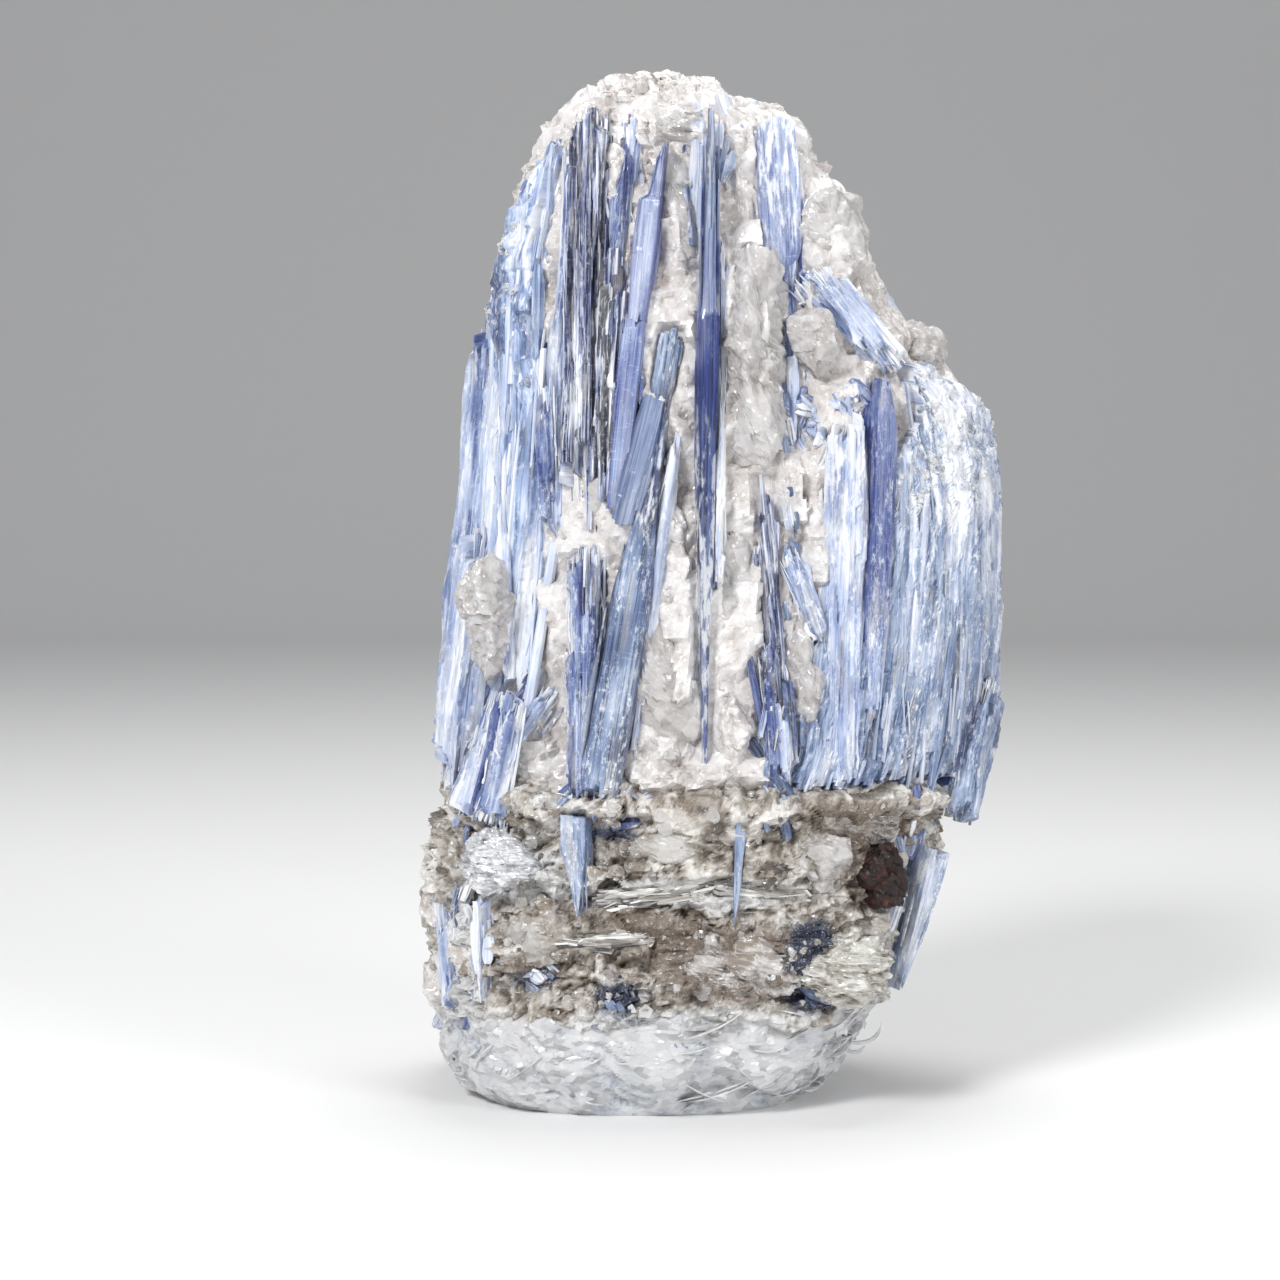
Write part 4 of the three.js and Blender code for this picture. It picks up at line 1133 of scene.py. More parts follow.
finishes = {
    "blade": kyaniteFinish("kyaniteBlade"),
    "silk": kyaniteFinish("silkyKyanite", hair=0.5, streak=0.5, cloud=0.75, powder=1.2, crack=0.3, grime=0.4),
    "sky": kyaniteFinish("skyKyanite", stops=skyStops, hair=0.5, streak=0.5, cloud=0.7, powder=1.0, crack=0.3,
        grime=0.3),
    "dusty": kyaniteFinish("dustyKyanite", stops=slateStops, hair=0.5, streak=0.35, cloud=0.8, powder=1.4,
        crack=0.3, grime=0.4, dust=0.35),
    "striped": kyaniteFinish("stripedKyanite", stops=steelStops, hair=2.2, streak=1.8, cloud=0.3, powder=0.8,
        crack=0.3, grime=0.4),
    "foil": kyaniteFinish("layeredMica", stops=foilStops, hair=1.1, streak=1.0, powder=0.8, crack=0),
    "mottled": kyaniteFinish("mottledKyanite", stops=slateStops, hair=0.5, streak=0.45, cloud=0.8, powder=0.8,
        crack=0.2, grime=0.25),
    "slate": kyaniteFinish("slateKyanite", stops=slateStops, hair=0.4, streak=0.25, cloud=0.95, powder=1.2,
        crack=0.25, grime=0.3, dust=0.4),
    "clearBlade": kyaniteFinish("clearKyanite", hair=0.4, streak=0.4, cloud=0.6, powder=0.3, crack=0.2,
        dust=0.15, roughness=(0.2, 0.4), relief=0.05, clear=0.15),
    "gem": kyaniteFinish("gemKyanite", hair=0.4, streak=0.55, cloud=0.35, powder=0.25, crack=0, dust=0.1,
        roughness=(0.08, 0.25), relief=0.04, clear=0.25),
    "milky": quartzFinish("milkyQuartz", milkyQuartz),
    "glassy": quartzFinish("glassyQuartz", glassyQuartz),
    "warm": quartzFinish("warmQuartz", warmQuartz),
    "smoky": quartzFinish("smokyQuartz", smokyQuartz),
    "schist": schistFinish("micaSchist", schist),
    "silver": micaFinish("silverMica", silverMica),
    "icy": micaFinish("icyMica", icyMica),
    "creamy": micaFinish("creamyMica", creamyMica),
    "garnet": garnetFinish("garnet"),
}
print("finishes made")


# Making the pieces

# single blades: tone (0 deep blue to 1 white), and what changes along them: share of the length from
# the foot, then what is added to tone, lilac and frost
singles = {
    "central_blade": dict(tone=0.3, finish="gem", slivers=12, bed=0.1, rim=0.2, soot=0.45,
        profile=((0, 0.25), (0.2, 0.36), (0.4, 0.72), (0.69, 0.85), (0.7, 0.6), (0.85, 0.5), (1, 0.3)),
        paint=((0, -0.06, 0, 0.4), (0.2, 0.14, 0, 0.55), (0.36, -0.02, 0, 0.5), (0.5, -0.04, 0, 0.25),
               (0.56, -0.16, 0.1, 0), (0.69, -0.12, 0.1, 0), (0.695, 0.18, 0.3, 0), (0.8, 0.22, 0.2, 0),
               (0.86, 0.3, 0, 0.2), (1, 0.4, 0, 0.3))),
    "pointed_blade": dict(tone=0.46, lilac=0.1, rim=0.5, finish="clearBlade", slivers=2, bed=0, skew=0.9,
        profile=((0, 0.8), (0.4, 0.85), (0.67, 0.8), (0.7, 0.5), (0.9, 0.34), (1, 0.08)),
        paint=((0, 0.0, 0.2, 0), (0.2, 0.12, 0.2, 0), (0.6, 0.0, 0.1, 0), (1, -0.06, 0, 0))),
    "pointed_blade_root": dict(tone=0.46, lilac=0.1, slivers=4, bed=0.2, profile=((0, 0.8), (1, 0.9))),
    "steel_stub_blade": dict(tone=0.36, soot=0.5, slivers=4, bed=0.1, ragged=3, finish="slate", frost=0.15),
    "pale_middle_blade": dict(tone=0.54, slivers=5, soot=0.2, finish="gem"),
    "wide_blade": dict(tone=0.37, soot=0.45, slivers=5, ragged=3, ledge=0.12, finish="slate", rim=0.2,
        profile=((0, 1.05), (0.5, 0.95), (0.75, 0.5), (1, 0.3)),
        paint=((0, 0.02, 0, 0.15), (0.25, 0.05, 0, 0.05), (0.5, 0.05, 0, 0.1), (0.62, -0.04, 0, 0.2),
               (0.75, -0.18, 0, 0.3), (1, -0.28, 0, 0.2))),
    "upper_right_blade": dict(tone=0.5, slivers=8, frost=0.2, ledge=0.4,
        profile=((0, 0.12), (0.3, 0.35), (0.55, 0.5), (0.63, 1), (1, 1.15)),
        paint=((0, -0.2, 0, 0), (0.55, -0.15, 0, 0), (0.65, 0.0, 0, 0.1), (1, 0.04, 0, 0.4))),
    "upper_centre_lath": dict(tone=0.62, slivers=4, frost=0.4),
    "deep_blue_blade": dict(tone=0.31, slivers=8, frost=0.1, finish="silk", ledge=0.4,
        profile=((0, 0.5), (0.3, 0.8), (0.9, 0.8), (1, 0.4)),
        paint=((0, 0.25, 0, 0.2), (0.3, 0.08, 0, 0.1), (0.6, 0, 0, 0), (1, 0, 0, 0))),
    "right_foot_blade": dict(tone=0.6, slivers=8, ragged=3, bed=-0.2, frost=0.3, finish="dusty",
        profile=((0, 0.12), (0.4, 0.55), (1, 0.95))),
    "foot_stub_blade": dict(tone=0.46, slivers=6, ragged=2, bed=0.3, frost=0.2, finish="dusty",
        profile=((0, 0.1), (0.3, 0.45), (0.6, 0.8), (1, 1.0))),
    "foot_thin_blade": dict(tone=0.56, slivers=3, ragged=2, profile=((0, 0.1), (0.5, 0.6), (1, 0.9)),
        finish="mottled"),
    "foot_slip_blade": dict(tone=0.74, frost=0.4, slivers=4, ragged=3,
        profile=((0, 0.2), (0.5, 0.7), (1, 0.8)), finish="silk"),
    "back_long_blade": dict(tone=0.3, finish="gem", slivers=6),
    "back_cross_blade": dict(tone=0.42, soot=0.4, slivers=8, ragged=3),
}
sheaves = {
    "dark_bundle": dict(laths=34, tone=0.48, toneSpread=0.35, soot=1.0, fibres=120, grid=0.12, wider=0.85,
        finish="striped", facets=((0.9, 20, 0.6), (0.4, 12, 0.3), (0.2, 5, 0.1)), raggedFoot=12),
    "slim_top_blades": dict(laths=8, tone=0.46, toneSpread=0.2, soot=0.3, fibres=20, raggedTop=5, grid=0.12),
    "inner_left_laths": dict(laths=24, tone=0.56, toneSpread=0.3, soot=1.1, fibres=140, raggedTop=8,
        wider=1.2),
    "lower_left_fan": dict(laths=18, tone=0.6, toneSpread=0.3, soot=0.2, fibres=160, fan=0.6, raggedTop=4,
        wider=1.1, deeper=0.45),
    "left_edge_blades": dict(laths=12, tone=0.7, toneSpread=0.16, soot=0.1, fibres=100, raggedTop=6,
        raggedFoot=6),
    "diagonal_laths": dict(laths=14, tone=0.66, toneSpread=0.2, soot=0.2, fibres=140, wider=1.7, raggedTop=5,
        raggedFoot=5, deeper=1.1),
    "middle_dark_laths": dict(laths=14, tone=0.42, toneSpread=0.25, soot=0.7, fibres=60, raggedTop=8,
        grid=0.13, finish="striped"),
    "white_sheaf": dict(laths=16, tone=0.68, toneSpread=0.14, soot=0, fibres=120, wider=1.2,
        paint=((0, -0.06, 0), (0.45, -0.02, 0.05), (0.65, 0.12, 0.4), (1, 0.16, 0.6))),
    "right_edge_blades": dict(laths=18, tone=0.64, toneSpread=0.2, soot=0.3, fibres=140, wider=1.15,
        raggedTop=6, raggedFoot=6),
    "lower_right_blades": dict(laths=10, tone=0.54, toneSpread=0.18, soot=0.3, fibres=100, wider=1.15,
        finish="dusty", raggedTop=5),
}
# smaller groups of laths between the great ones, on the front: foot x and z, top x and z, width, depth,
# how far their middle stands in front of the plain outline and, where given, how far the top is sunk
strays = {
    "leftShoulderLaths": dict(at=(-18.8, 83, -15.6, 97, 3.6, 3, 0.2), laths=10, tone=0.68, raggedTop=5),
    "leftFlankLaths": dict(at=(-15.6, 57, -14.2, 96.5, 1.8, 3, 1.2), laths=6, tone=0.52, raggedTop=4),
    "leftBlueStrip": dict(at=(-16.2, 58, -16.6, 72, 1.6, 3, 1.8), laths=4, tone=0.42, raggedTop=3),
    "greyLaths": dict(at=(-10.9, 60, -9.9, 86, 2.6, 3, 0.8), laths=12, tone=0.6, soot=1.5, raggedTop=8,
        finish="striped"),
    "slimFoilLaths": dict(at=(-9.4, 70, -8.9, 82, 1.4, 2, 1.2), laths=4, tone=0.6, soot=0.6,
        finish="striped"),
    "wideBladeEdge": dict(at=(-8.0, 36, -3.9, 68, 0.9, 2.4, 0.9), laths=3, tone=0.8, raggedTop=6),
    "innerFootLaths": dict(at=(-13.4, 31, -13.2, 47, 2.6, 3, 1.0), laths=12, tone=0.5, soot=1.0, lean=0.5),
    "centralEdgeLath": dict(at=(0.1, 52, 0.5, 86, 0.9, 2, 1.4), laths=2, tone=0.82),
    "jumbledFootLaths": dict(at=(6.4, 32.6, 5.4, 47, 3.0, 3, 0.2), laths=18, tone=0.5, toneSpread=0.3,
        soot=1.1, raggedTop=9, raggedFoot=4, lean=0.8),
    "leftLumpEdge": dict(at=(-25.6, 42, -24.4, 58, 1.1, 2.4, 2.2), laths=5, tone=0.6, raggedTop=5,
        raggedFoot=4),
    "leftWhiteEdge": dict(at=(-20.8, 43, -20.9, 71, 1.1, 2.4, 2.4), laths=5, tone=0.9, raggedTop=6,
        raggedFoot=5),
    "leftSlantOuter": dict(at=(-27.0, 31.6, -18.2, 47, 2.2, 3, 2.2, 3), laths=12, tone=0.62, raggedTop=6,
        raggedFoot=1.5, fibres=80),
    "leftSlantBlue": dict(at=(-25.6, 30.8, -16.8, 45, 1.5, 3, 3.0, 3.4), laths=8, tone=0.36, raggedTop=5,
        raggedFoot=1.5, fibres=60),
    "leftSlantInner": dict(at=(-24.0, 30.6, -15.8, 42.4, 1.9, 2.6, 2.6, 2.4), laths=10, tone=0.6, raggedTop=5,
        raggedFoot=1.5, fibres=80),
    "slantedChipLaths": dict(at=(10.2, 47, 7.0, 56, 2.0, 2, 0.8), laths=8, tone=0.66, raggedTop=3),
    "diagonalUpperLaths": dict(at=(18.2, 73.8, 10.0, 84.0, 2.6, 3, 0.9), laths=10, tone=0.66, raggedTop=5,
        raggedFoot=4, fibres=80),
    "crestLaths": dict(at=(0.4, 92, 1.6, 98.5, 1.6, 2, 0.6), laths=4, tone=0.7),
    "crestBlueLath": dict(at=(-2.6, 85, -3.4, 94, 1.2, 2, 0.6), laths=3, tone=0.56, soot=0.4),
    # round the sides and back: turn and height of the foot, the same of the top, width, depth, proud
    "leftBackSheaf": dict(round=(-92, 34, -88, 80, 7, 5, 0.5), laths=26, tone=0.6, raggedTop=9, raggedFoot=6,
        fibres=140),
    "leftBackLaths": dict(round=(-112, 52, -108, 90, 4, 4, 0.6), laths=14, tone=0.5, soot=0.6,
        finish="striped", raggedTop=8),
    "backMiddleLaths": dict(round=(-168, 60, -172, 95, 5, 4, 0.4), laths=16, tone=0.56, raggedTop=9,
        raggedFoot=6),
    "backLowerLaths": dict(round=(-178, 33, -174, 56, 6, 4, 0.5), laths=16, tone=0.68, raggedTop=9,
        raggedFoot=3),
    "rightUpperLaths": dict(round=(112, 70, 108, 86, 3.4, 3, 0.5), laths=10, tone=0.72, raggedTop=5,
        raggedFoot=3),
    "leftFootSideBlade": dict(round=(-60, 9, -66, 20, 2.0, 2.6, 0.0), laths=6, tone=0.7, raggedTop=4,
        raggedFoot=3),
    "backFootLaths": dict(round=(164, 14, 160, 28, 3.4, 3, 0.5), laths=8, tone=0.42, soot=0.6, raggedTop=6,
        raggedFoot=4),
    # in the foot, on the front again
    "footBlueFold": dict(at=(-11.2, 29.0, -6.0, 29.8, 1.4, 2, 0.2), laths=6, tone=0.3, soot=0.4, raggedTop=2,
        raggedFoot=2),
    "footMicaBand": dict(at=(-12, 21.6, 2, 23.4, 2.2, 2.4, -0.2), laths=8, tone=0.62, soot=1, fibres=120,
        raggedTop=5, raggedFoot=5, lumpy=0.9, finish="foil"),
    "footMicaRight": dict(at=(-2, 23.6, 9.4, 22.0, 1.6, 2.4, -0.2), laths=8, tone=0.66, soot=1, fibres=120,
        raggedTop=5, raggedFoot=5, lumpy=0.9, finish="foil"),
    "footMicaLow": dict(at=(-17, 17.6, -6, 18.2, 1.8, 2, -0.2), laths=8, tone=0.5, soot=1, fibres=100,
        raggedTop=5, raggedFoot=5, lumpy=0.9, finish="foil"),
    "leftFootLaths": dict(at=(-16.8, 29.5, -12.8, 33.5, 1.4, 2, 1.2), laths=5, tone=0.7),
}
# broad curtains of laths that follow the rock: height with the turns of both edges; share across with
# the height of the foot, of the top, and how proud it stands
curtains = {
    "left_sheaf": dict(edges=((31, -104, -36), (44, -104, -37.5), (60, -100, -41), (76, -98, -44),
                              (88, -92, -47), (97.5, -84, -50)),
        feet=((0, 38), (0.3, 36), (0.5, 44), (0.7, 45), (0.85, 41), (0.93, 34), (1, 33)),
        tops=((0, 80), (0.3, 86), (0.6, 93), (0.8, 97), (1, 97)),
        proud=((0, 0.4), (0.3, 1.1), (0.7, 1.6), (1, 1.2)), tone=0.75, toneSpread=0.14, soot=0.2, laths=70,
        fibres=200, raggedTop=4, raggedFoot=5, knobbly=((62, 0), (73, 0.4), (80, 0.8), (90, 0.6)),
        lathOut=-0.1, raggedSide=0.8, finish="sky", facets=((1.8, 19, 0.5), (0.6, 7, 0.22), (0.25, 2.5, 0.1)),
        paint=((0, 0.04, 0.2), (0.4, 0, 0), (0.6, -0.08, 0), (0.7, -0.25, 0.05), (0.85, -0.22, 0.15),
               (1, -0.04, 0.3)),
        spots=((-49, 65, 1.6, 7, -0.25, 0), (-66, 60, 1.2, 16, 0.2, 0.5), (-46, 50, 1.4, 9, 0.12, 0.3),
               (-54, 78, 4.5, 7, -0.24, 0), (-58, 87, 1.6, 2.5, 0.2, 0.4), (-47, 74, 1, 3, 0.2, 0.4),
               (-50, 86, 1.6, 5, 0.1, 0.3), (-72, 70, 1.2, 5, 0.2, 0.6))),
    "right_sheaf": dict(edges=((29, 11, 104), (46, 12, 104), (58, 16, 104), (64, 24, 102), (69, 31, 100),
                               (75, 33, 98)),
        feet=((0, 31), (0.3, 32), (0.6, 31), (0.8, 33), (1, 36)),
        tops=((0, 62), (0.12, 66), (0.2, 72), (0.28, 75), (0.45, 74.5), (0.6, 71), (0.8, 68), (1, 64)),
        proud=((0, 0.5), (0.15, 1.2), (0.5, 2.0), (0.75, 2.4), (1, 1.2)), tone=0.67, toneSpread=0.11,
        soot=0.16, laths=80, fibres=200, raggedTop=1.5, raggedFoot=2.5,
        knobbly=((28, 0.2), (33, 0.05), (59, 0.0), (65, 0.6), (75, 0.9)),
        facets=((2.2, 12, 0.6), (0.8, 4.5, 0.28), (0.32, 1.8, 0.14)), lathOut=-0.2, raggedSide=0.6,
        finish="dusty",
        paint=((0, -0.17, 0), (0.3, -0.15, 0.05), (0.6, -0.03, 0.05), (0.75, 0.0, 0.15), (0.85, 0.0, 0.45),
               (1, 0.02, 0.55)),
        spots=((52, 62, 3, 5, 0.06, 0.5), (62, 36, 2, 5, -0.22, 0), (30, 40, 2, 8, -0.08, 0),
               (38, 70, 2, 3, -0.2, 0))),
    "back_left_sheaf": dict(edges=((33, -166, -128), (60, -168, -130), (86, -166, -128)),
        feet=((0, 38), (0.4, 34), (0.7, 40), (1, 46)), tops=((0, 76), (0.3, 84), (0.7, 85), (1, 78)),
        proud=((0, 0.6), (0.5, 1.6), (1, 0.6)), tone=0.62, toneSpread=0.14, soot=0.4, laths=60, fibres=200,
        raggedTop=7, raggedFoot=5),
    "back_right_sheaf": dict(edges=((31, 122, 168), (56, 120, 168), (78, 124, 166)),
        feet=((0, 36), (0.4, 32), (0.8, 34), (1, 40)), tops=((0, 66), (0.4, 76), (0.8, 72), (1, 62)),
        proud=((0, 0.6), (0.5, 1.6), (1, 0.6)), tone=0.58, toneSpread=0.15, soot=0.3, laths=60, fibres=200,
        raggedTop=6, raggedFoot=4),
}
slotOf = {s["node"]: s["material_slot"] for s in frame["record"]["subparts"]}
lines = {node: lineOf(node) for node in (*singles, *sheaves)}
laid = {name: lineAt(*shape["at"]) if "at" in shape else lineRound(*shape["round"])
        for name, shape in strays.items()}


# What is known of a blade, sheaf or stray by its name.
def bedOf(node):
    return {**singles, **sheaves, **strays}[node]


# The name of a node as a piece's name.
def camel(node):
    first, *rest = node.split("_")
    return first + "".join(word.title() for word in rest)


# colours of the foot by place on its front: x, height, half width, half height, strength
footStains = {
    "brown": ((2, 15.8, 8, 4, 1), (16, 25, 4, 4, 0.9), (13, 30, 6, 2, 0.7), (-8, 20, 4, 2.5, 0.6),
              (-16, 21, 4, 2, 0.5)),
    "blueBlack": ((-9.6, 12.2, 2.4, 1.8, 0.95), (-18, 14, 3.0, 1.6, 0.6), (9.6, 12.5, 3, 2.4, 1.0),
                  (9.4, 17, 2.6, 3, 0.9), (-10.5, 28.5, 4, 1.2, 0.6)),
    # frosted: whiter mica of the base, also painted highlight and painted glints
    "frosted": ((-18.5, 6.5, 4.5, 4, 1), (-24, 3, 3, 2, 0.6), (4, 8, 6, 2, 0.4)),
    "silvery": ((-2, 22.6, 11, 1.8, 0.8), (-20, 24, 5, 3, 0.8), (-26, 14, 3, 7, 0.9), (17, 14, 4, 5, 0.5),
                (-4, 9.8, 16, 1.6, 0.7)),
}


# How much each point of the rock takes of each of those colours; round the back it is left to noise.
def stained(points):
    x, y, z = points.T
    front = smoothStep(4, -6, y)
    bells = {key: sum(f[4] * np.exp(-(((x - f[0]) / f[2]) ** 2) - ((z - f[1]) / f[3]) ** 2) for f in spots)
             for key, spots in footStains.items()}
    return {key: bell * front + (1 - front) * 0.3 * smoothStep(0.2, 0.6, softNoise(points / 5, seed))
            for seed, (key, bell) in enumerate(bells.items())}


shells = []
for name, node, rows, caps, columns, relief, finish, slot, smooth in (
        ("quartzBody", "quartz_body", (28, 99.4, 0.4), (2, 4.6), 350, quartzRelief, "milky", "quartz", 34),
        ("schistFoot", "schist_foot", (8, 34.5, 0.23), (1, 1), 540, schistRelief, "schist", "schist", 24),
        ("micaBase", "mica_base", (0, 12.5, 0.24), (0, 1), 480, micaRelief, "icy", "mica", 40)):
    points, triangles, normals, values = rockShell(*shellRows(*rows, *caps), relief, columns)
    addPiece(name, points, triangles, finishes[finish], slot, [node], values | stained(points), smooth)
    shells.append((points, normals))


# A single blade and the slivers that cling along its edges.
def bladeSpec(line, look, seed):
    rng = np.random.default_rng(seed)
    n = 1 + look["slivers"]
    first = np.arange(n) == 0
    side = rng.choice([-1, 1], n)
    width = line["width"] * np.where(first, 0.92, rng.uniform(0.12, 0.3, n))
    u = np.where(first, 0, side * (line["width"] * rng.uniform(0.34, 0.58, n)))
    v = np.where(first, 0, line["depth"] * rng.uniform(-0.35, 0.25, n))
    reach = np.where(first, 1, rng.uniform(0.15, 0.75, n))
    start = (1 - reach) * rng.random(n)
    widths = np.array(look.get("profile", ((0, 1), (1, 1))))
    u = u * np.interp(start + reach / 2, widths[:, 0], widths[:, 1])
    beside = line["across"] * u[:, None] + line["outer"] * v[:, None]
    at = lambda share: line["foot"] + line["along"] * (share * line["length"])[:, None] + beside
    pick = lambda low, high, main: np.where(first, main, rng.uniform(low, high, n))
    return {"foot": at(start), "top": at(start + reach), "across": np.tile(line["across"], (n, 1)),
            "width": width, "depth": np.where(first, line["depth"] * 0.9, width * 1.3),
            "tip": pick(0.4, 0.9, 0.9), "root": pick(0.4, 0.9, 0.9),
            "ledge": pick(0.02, 0.1, look.get("ledge", 0.28)), "strips": pick(1, 2, 1.3),
            "ragged": pick(0.2, 1.2, look.get("ragged", 1.4)),
            "tone": np.clip(look["tone"] + rng.normal(0, 0.1, n) * ~first, 0, 1),
            "lilac": np.full(n, look.get("lilac", 0.0)), "soot": np.full(n, look.get("soot", 0.0)),
            "frost": np.full(n, look.get("frost", 0.0)), "seed": seed * 31,
            "rim": np.full(n, look.get("rim", 0.1)) * first,
            **{key: look[key] for key in ("paint", "profile", "skew") if key in look}}


shared = ("paint", "profile", "seed", "skew")       # what a blade and its slivers have in common
for seed, (node, look) in enumerate(singles.items()):
    spec = bladeSpec(lines[node], look, seed + 3)
    blade, slivers = ({key: value if key in shared else value[some] for key, value in spec.items()}
                      for some in (slice(0, 1), slice(1, None)))
    slivers["seed"] = seed * 17 + 5
    points, triangles, values = joined(growBlades(blade, *grids["blade"]),
                                       growBlades(slivers, *grids["sliver"]))
    finish = finishes[look.get("finish", "blade")]
    addPiece(camel(node), points, triangles, finish, slotOf[node], [node], values, 30)

for seed, (node, shape) in enumerate((sheaves | strays).items()):
    line = {**lines, **laid}[node]
    shape = {"lathWidth": (0.35, 1.1), "reach": (0.15, 0.7), "toneSpread": 0.2, "soot": 0.2, "fibres": 40,
             **({} if node in lines else {"grid": 0.2, "step": 0.4}), **shape}
    body = sheafBody(line, shape, seed * 7 + 2)
    laths = growBlades(sheafSpec(line, shape, seed * 7 + 1), *grids["lath"])
    fibres = growBlades(fibreSpec(line, shape, seed * 7 + 1), *grids["fibre"])
    points, triangles, values = joined(body, laths, fibres)
    look = shape.get("finish", "silk")
    own = "mica" if look == "foil" else "pale_kyanite"
    stoodFor = [node] if node in lines else []
    addPiece(camel(node), points, triangles, finishes[look], slotOf.get(node, own), stoodFor, values, 24)

grounds = {}
for seed, (node, shape) in enumerate(curtains.items()):
    face = curtain(shape, seed + 41)
    grounds[node] = face[0], unit(face[0] * np.array([0.6, 1, 0]))
    laths = curtainSpec(shape, seed + 51, shape["laths"], (0.3, 1.2), (0.08, 0.5))
    fibres = curtainSpec(shape, seed + 61, shape["fibres"], (0.07, 0.3), (0.02, 0.14)) | {"ledge": 0}
    points, triangles, values = joined(face, growBlades(laths, *grids["lath"]),
                                       growBlades(fibres, *grids["fibre"]))
    look = finishes[shape.get("finish", "silk")]
    addPiece(camel(node), points, triangles, look, slotOf[node], [node], values, 24)

# lumps with a node of their own: how large their grains are, how deep the grains stand, how many planes
lumps = {
    "centre_quartz_lump": dict(grain=3.0, relief=1.1, finish="glassy", planes=11),
    "upper_right_quartz": dict(grain=4.2, relief=1.0, finish="glassy", planes=11),
    "left_quartz_lump": dict(grain=2.4, relief=0.9, finish="glassy", planes=7, size=0.95),
    "shoulder_quartz": dict(grain=2.6, relief=0.7, finish="glassy", planes=10, size=0.8),
    "garnet": dict(grain=2.2, relief=0.7, finish="garnet", name="rustyGarnet"),
    "silver_mica_book": dict(grain=1.8, relief=0.6, finish="silver", layers=1.6),
    "layered_mica_book": dict(grain=2.0, relief=0.7, finish="creamy", layers=3.0, planes=9),
}
for seed, (node, look) in enumerate(lumps.items()):
    low, high = (np.array(corner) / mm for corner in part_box(node))
    made = lump((low + high) / 2, (high - low) / 2 * look.get("size", 1), look["grain"], seed + 3,
                relief=look["relief"], planes=look.get("planes", 16), layers=look.get("layers", 1.0))
    addPiece(look.get("name", camel(node)), *made[:2], finishes[look["finish"]], slotOf[node], [node],
             made[2], 28)

# quartz between the blades: middle x and z, half sizes across, deep and high, proud of the outline
knobs = {
    "topLeftColumn": dict(at=(-10.2, 91.5), reach=(1.3, 1.6, 5.2), proud=0.2, grain=1.8),
    "upperColumn": dict(at=(-3.9, 86.5), reach=(2.2, 2.4, 8.6), proud=0.4, grain=3),
    "leftColumn": dict(at=(-11.6, 64), reach=(1.7, 2, 6.6), proud=0.2, grain=3),
    "warmUpperLump": dict(at=(-4.6, 54), reach=(2.0, 2.2, 7), proud=0.6, grain=2.4),
    "warmLowerLump": dict(at=(-5.2, 41), reach=(3.4, 3, 8.4), proud=0.8, grain=3.2),
    "greyRecess": dict(at=(1.4, 52), reach=(1.9, 1.6, 9.6), proud=-0.8, grain=3.6),
    "lowerMiddleLump": dict(at=(1.6, 37.5), reach=(2.0, 2.2, 5), proud=0.4, grain=2.6),
    "rightWedge": dict(at=(9.6, 76.5), reach=(2.2, 2, 3.6), proud=0.4, grain=2.6),
    "rightGreyPatch": dict(at=(8.4, 43), reach=(1.5, 1.6, 6), proud=0.4, grain=3),
    "leftFootWedge": dict(at=(-18.4, 36), reach=(1.9, 2.2, 4.6), proud=0.2, grain=2.4),
    "leftSideGrains": dict(at=(-22.6, 58), reach=(1.2, 2, 5), proud=-0.4, grain=2),
    "crownMiddle": dict(at=(-3.4, 96.6), reach=(3.6, 4, 3.6), proud=-0.8, grain=2.2),
    "crownRight": dict(at=(1.8, 94.6), reach=(2.4, 3, 4.0), proud=-0.4, grain=2.0),
    "foldedFootLump": dict(at=(-5.4, 27.2), reach=(6.4, 2.6, 2.4), proud=0.1, grain=2.4, finish="warm"),
    "footUpperLump": dict(at=(2.2, 29.6), reach=(4.4, 2.6, 2.6), proud=0, grain=1.8, finish="warm"),
    "footBrownLump": dict(at=(1.8, 15.6), reach=(7, 2.4, 3.6), proud=-0.2, grain=2.2, finish="smoky"),
    "footLeftLump": dict(at=(-17.6, 18.4), reach=(3.4, 2.4, 3.2), proud=0, grain=2.0, finish="warm"),
    "footRightGlass": dict(at=(10.4, 24.6), reach=(2.8, 2.2, 4), proud=0.2, grain=1.8, finish="glassy"),
    "footRightLump": dict(at=(15.8, 19.0), reach=(3.2, 2.4, 3.4), proud=0, grain=1.8, finish="warm"),
    "footRightShoulder": dict(at=(14.2, 29.6), reach=(4.6, 2.6, 2.4), proud=0, grain=1.8, finish="smoky"),
    "whiteKnobUpper": dict(at=(-27.6, 19.6), reach=(2.2, 3.4, 2.8), proud=-0.6, grain=2, finish="milky"),
    "whiteKnobLower": dict(at=(-27.0, 12.4), reach=(2.4, 3.4, 3.4), proud=-0.6, grain=2, finish="milky"),
    "whiteKnobMiddle": dict(at=(-24.6, 16.0), reach=(2.2, 2.4, 2.4), proud=0.2, grain=1.8, finish="milky"),
}
for seed, (name, look) in enumerate(knobs.items()):
    x, z = look["at"]
    centre = (x, frontAt(x, z) - look["proud"] + look["reach"][1] * 0.4, z)
    made = lump(centre, look["reach"], look["grain"], seed + 23, 72, 72, 0.22 * look["grain"])
    addPiece(name, *made[:2], finishes[look.get("finish", "glassy" if seed % 3 else "milky")], "quartz", [],
             made[2], 28)

grounds["rock"] = tuple(np.concatenate([shell[k] for shell in shells]) for k in (0, 1))


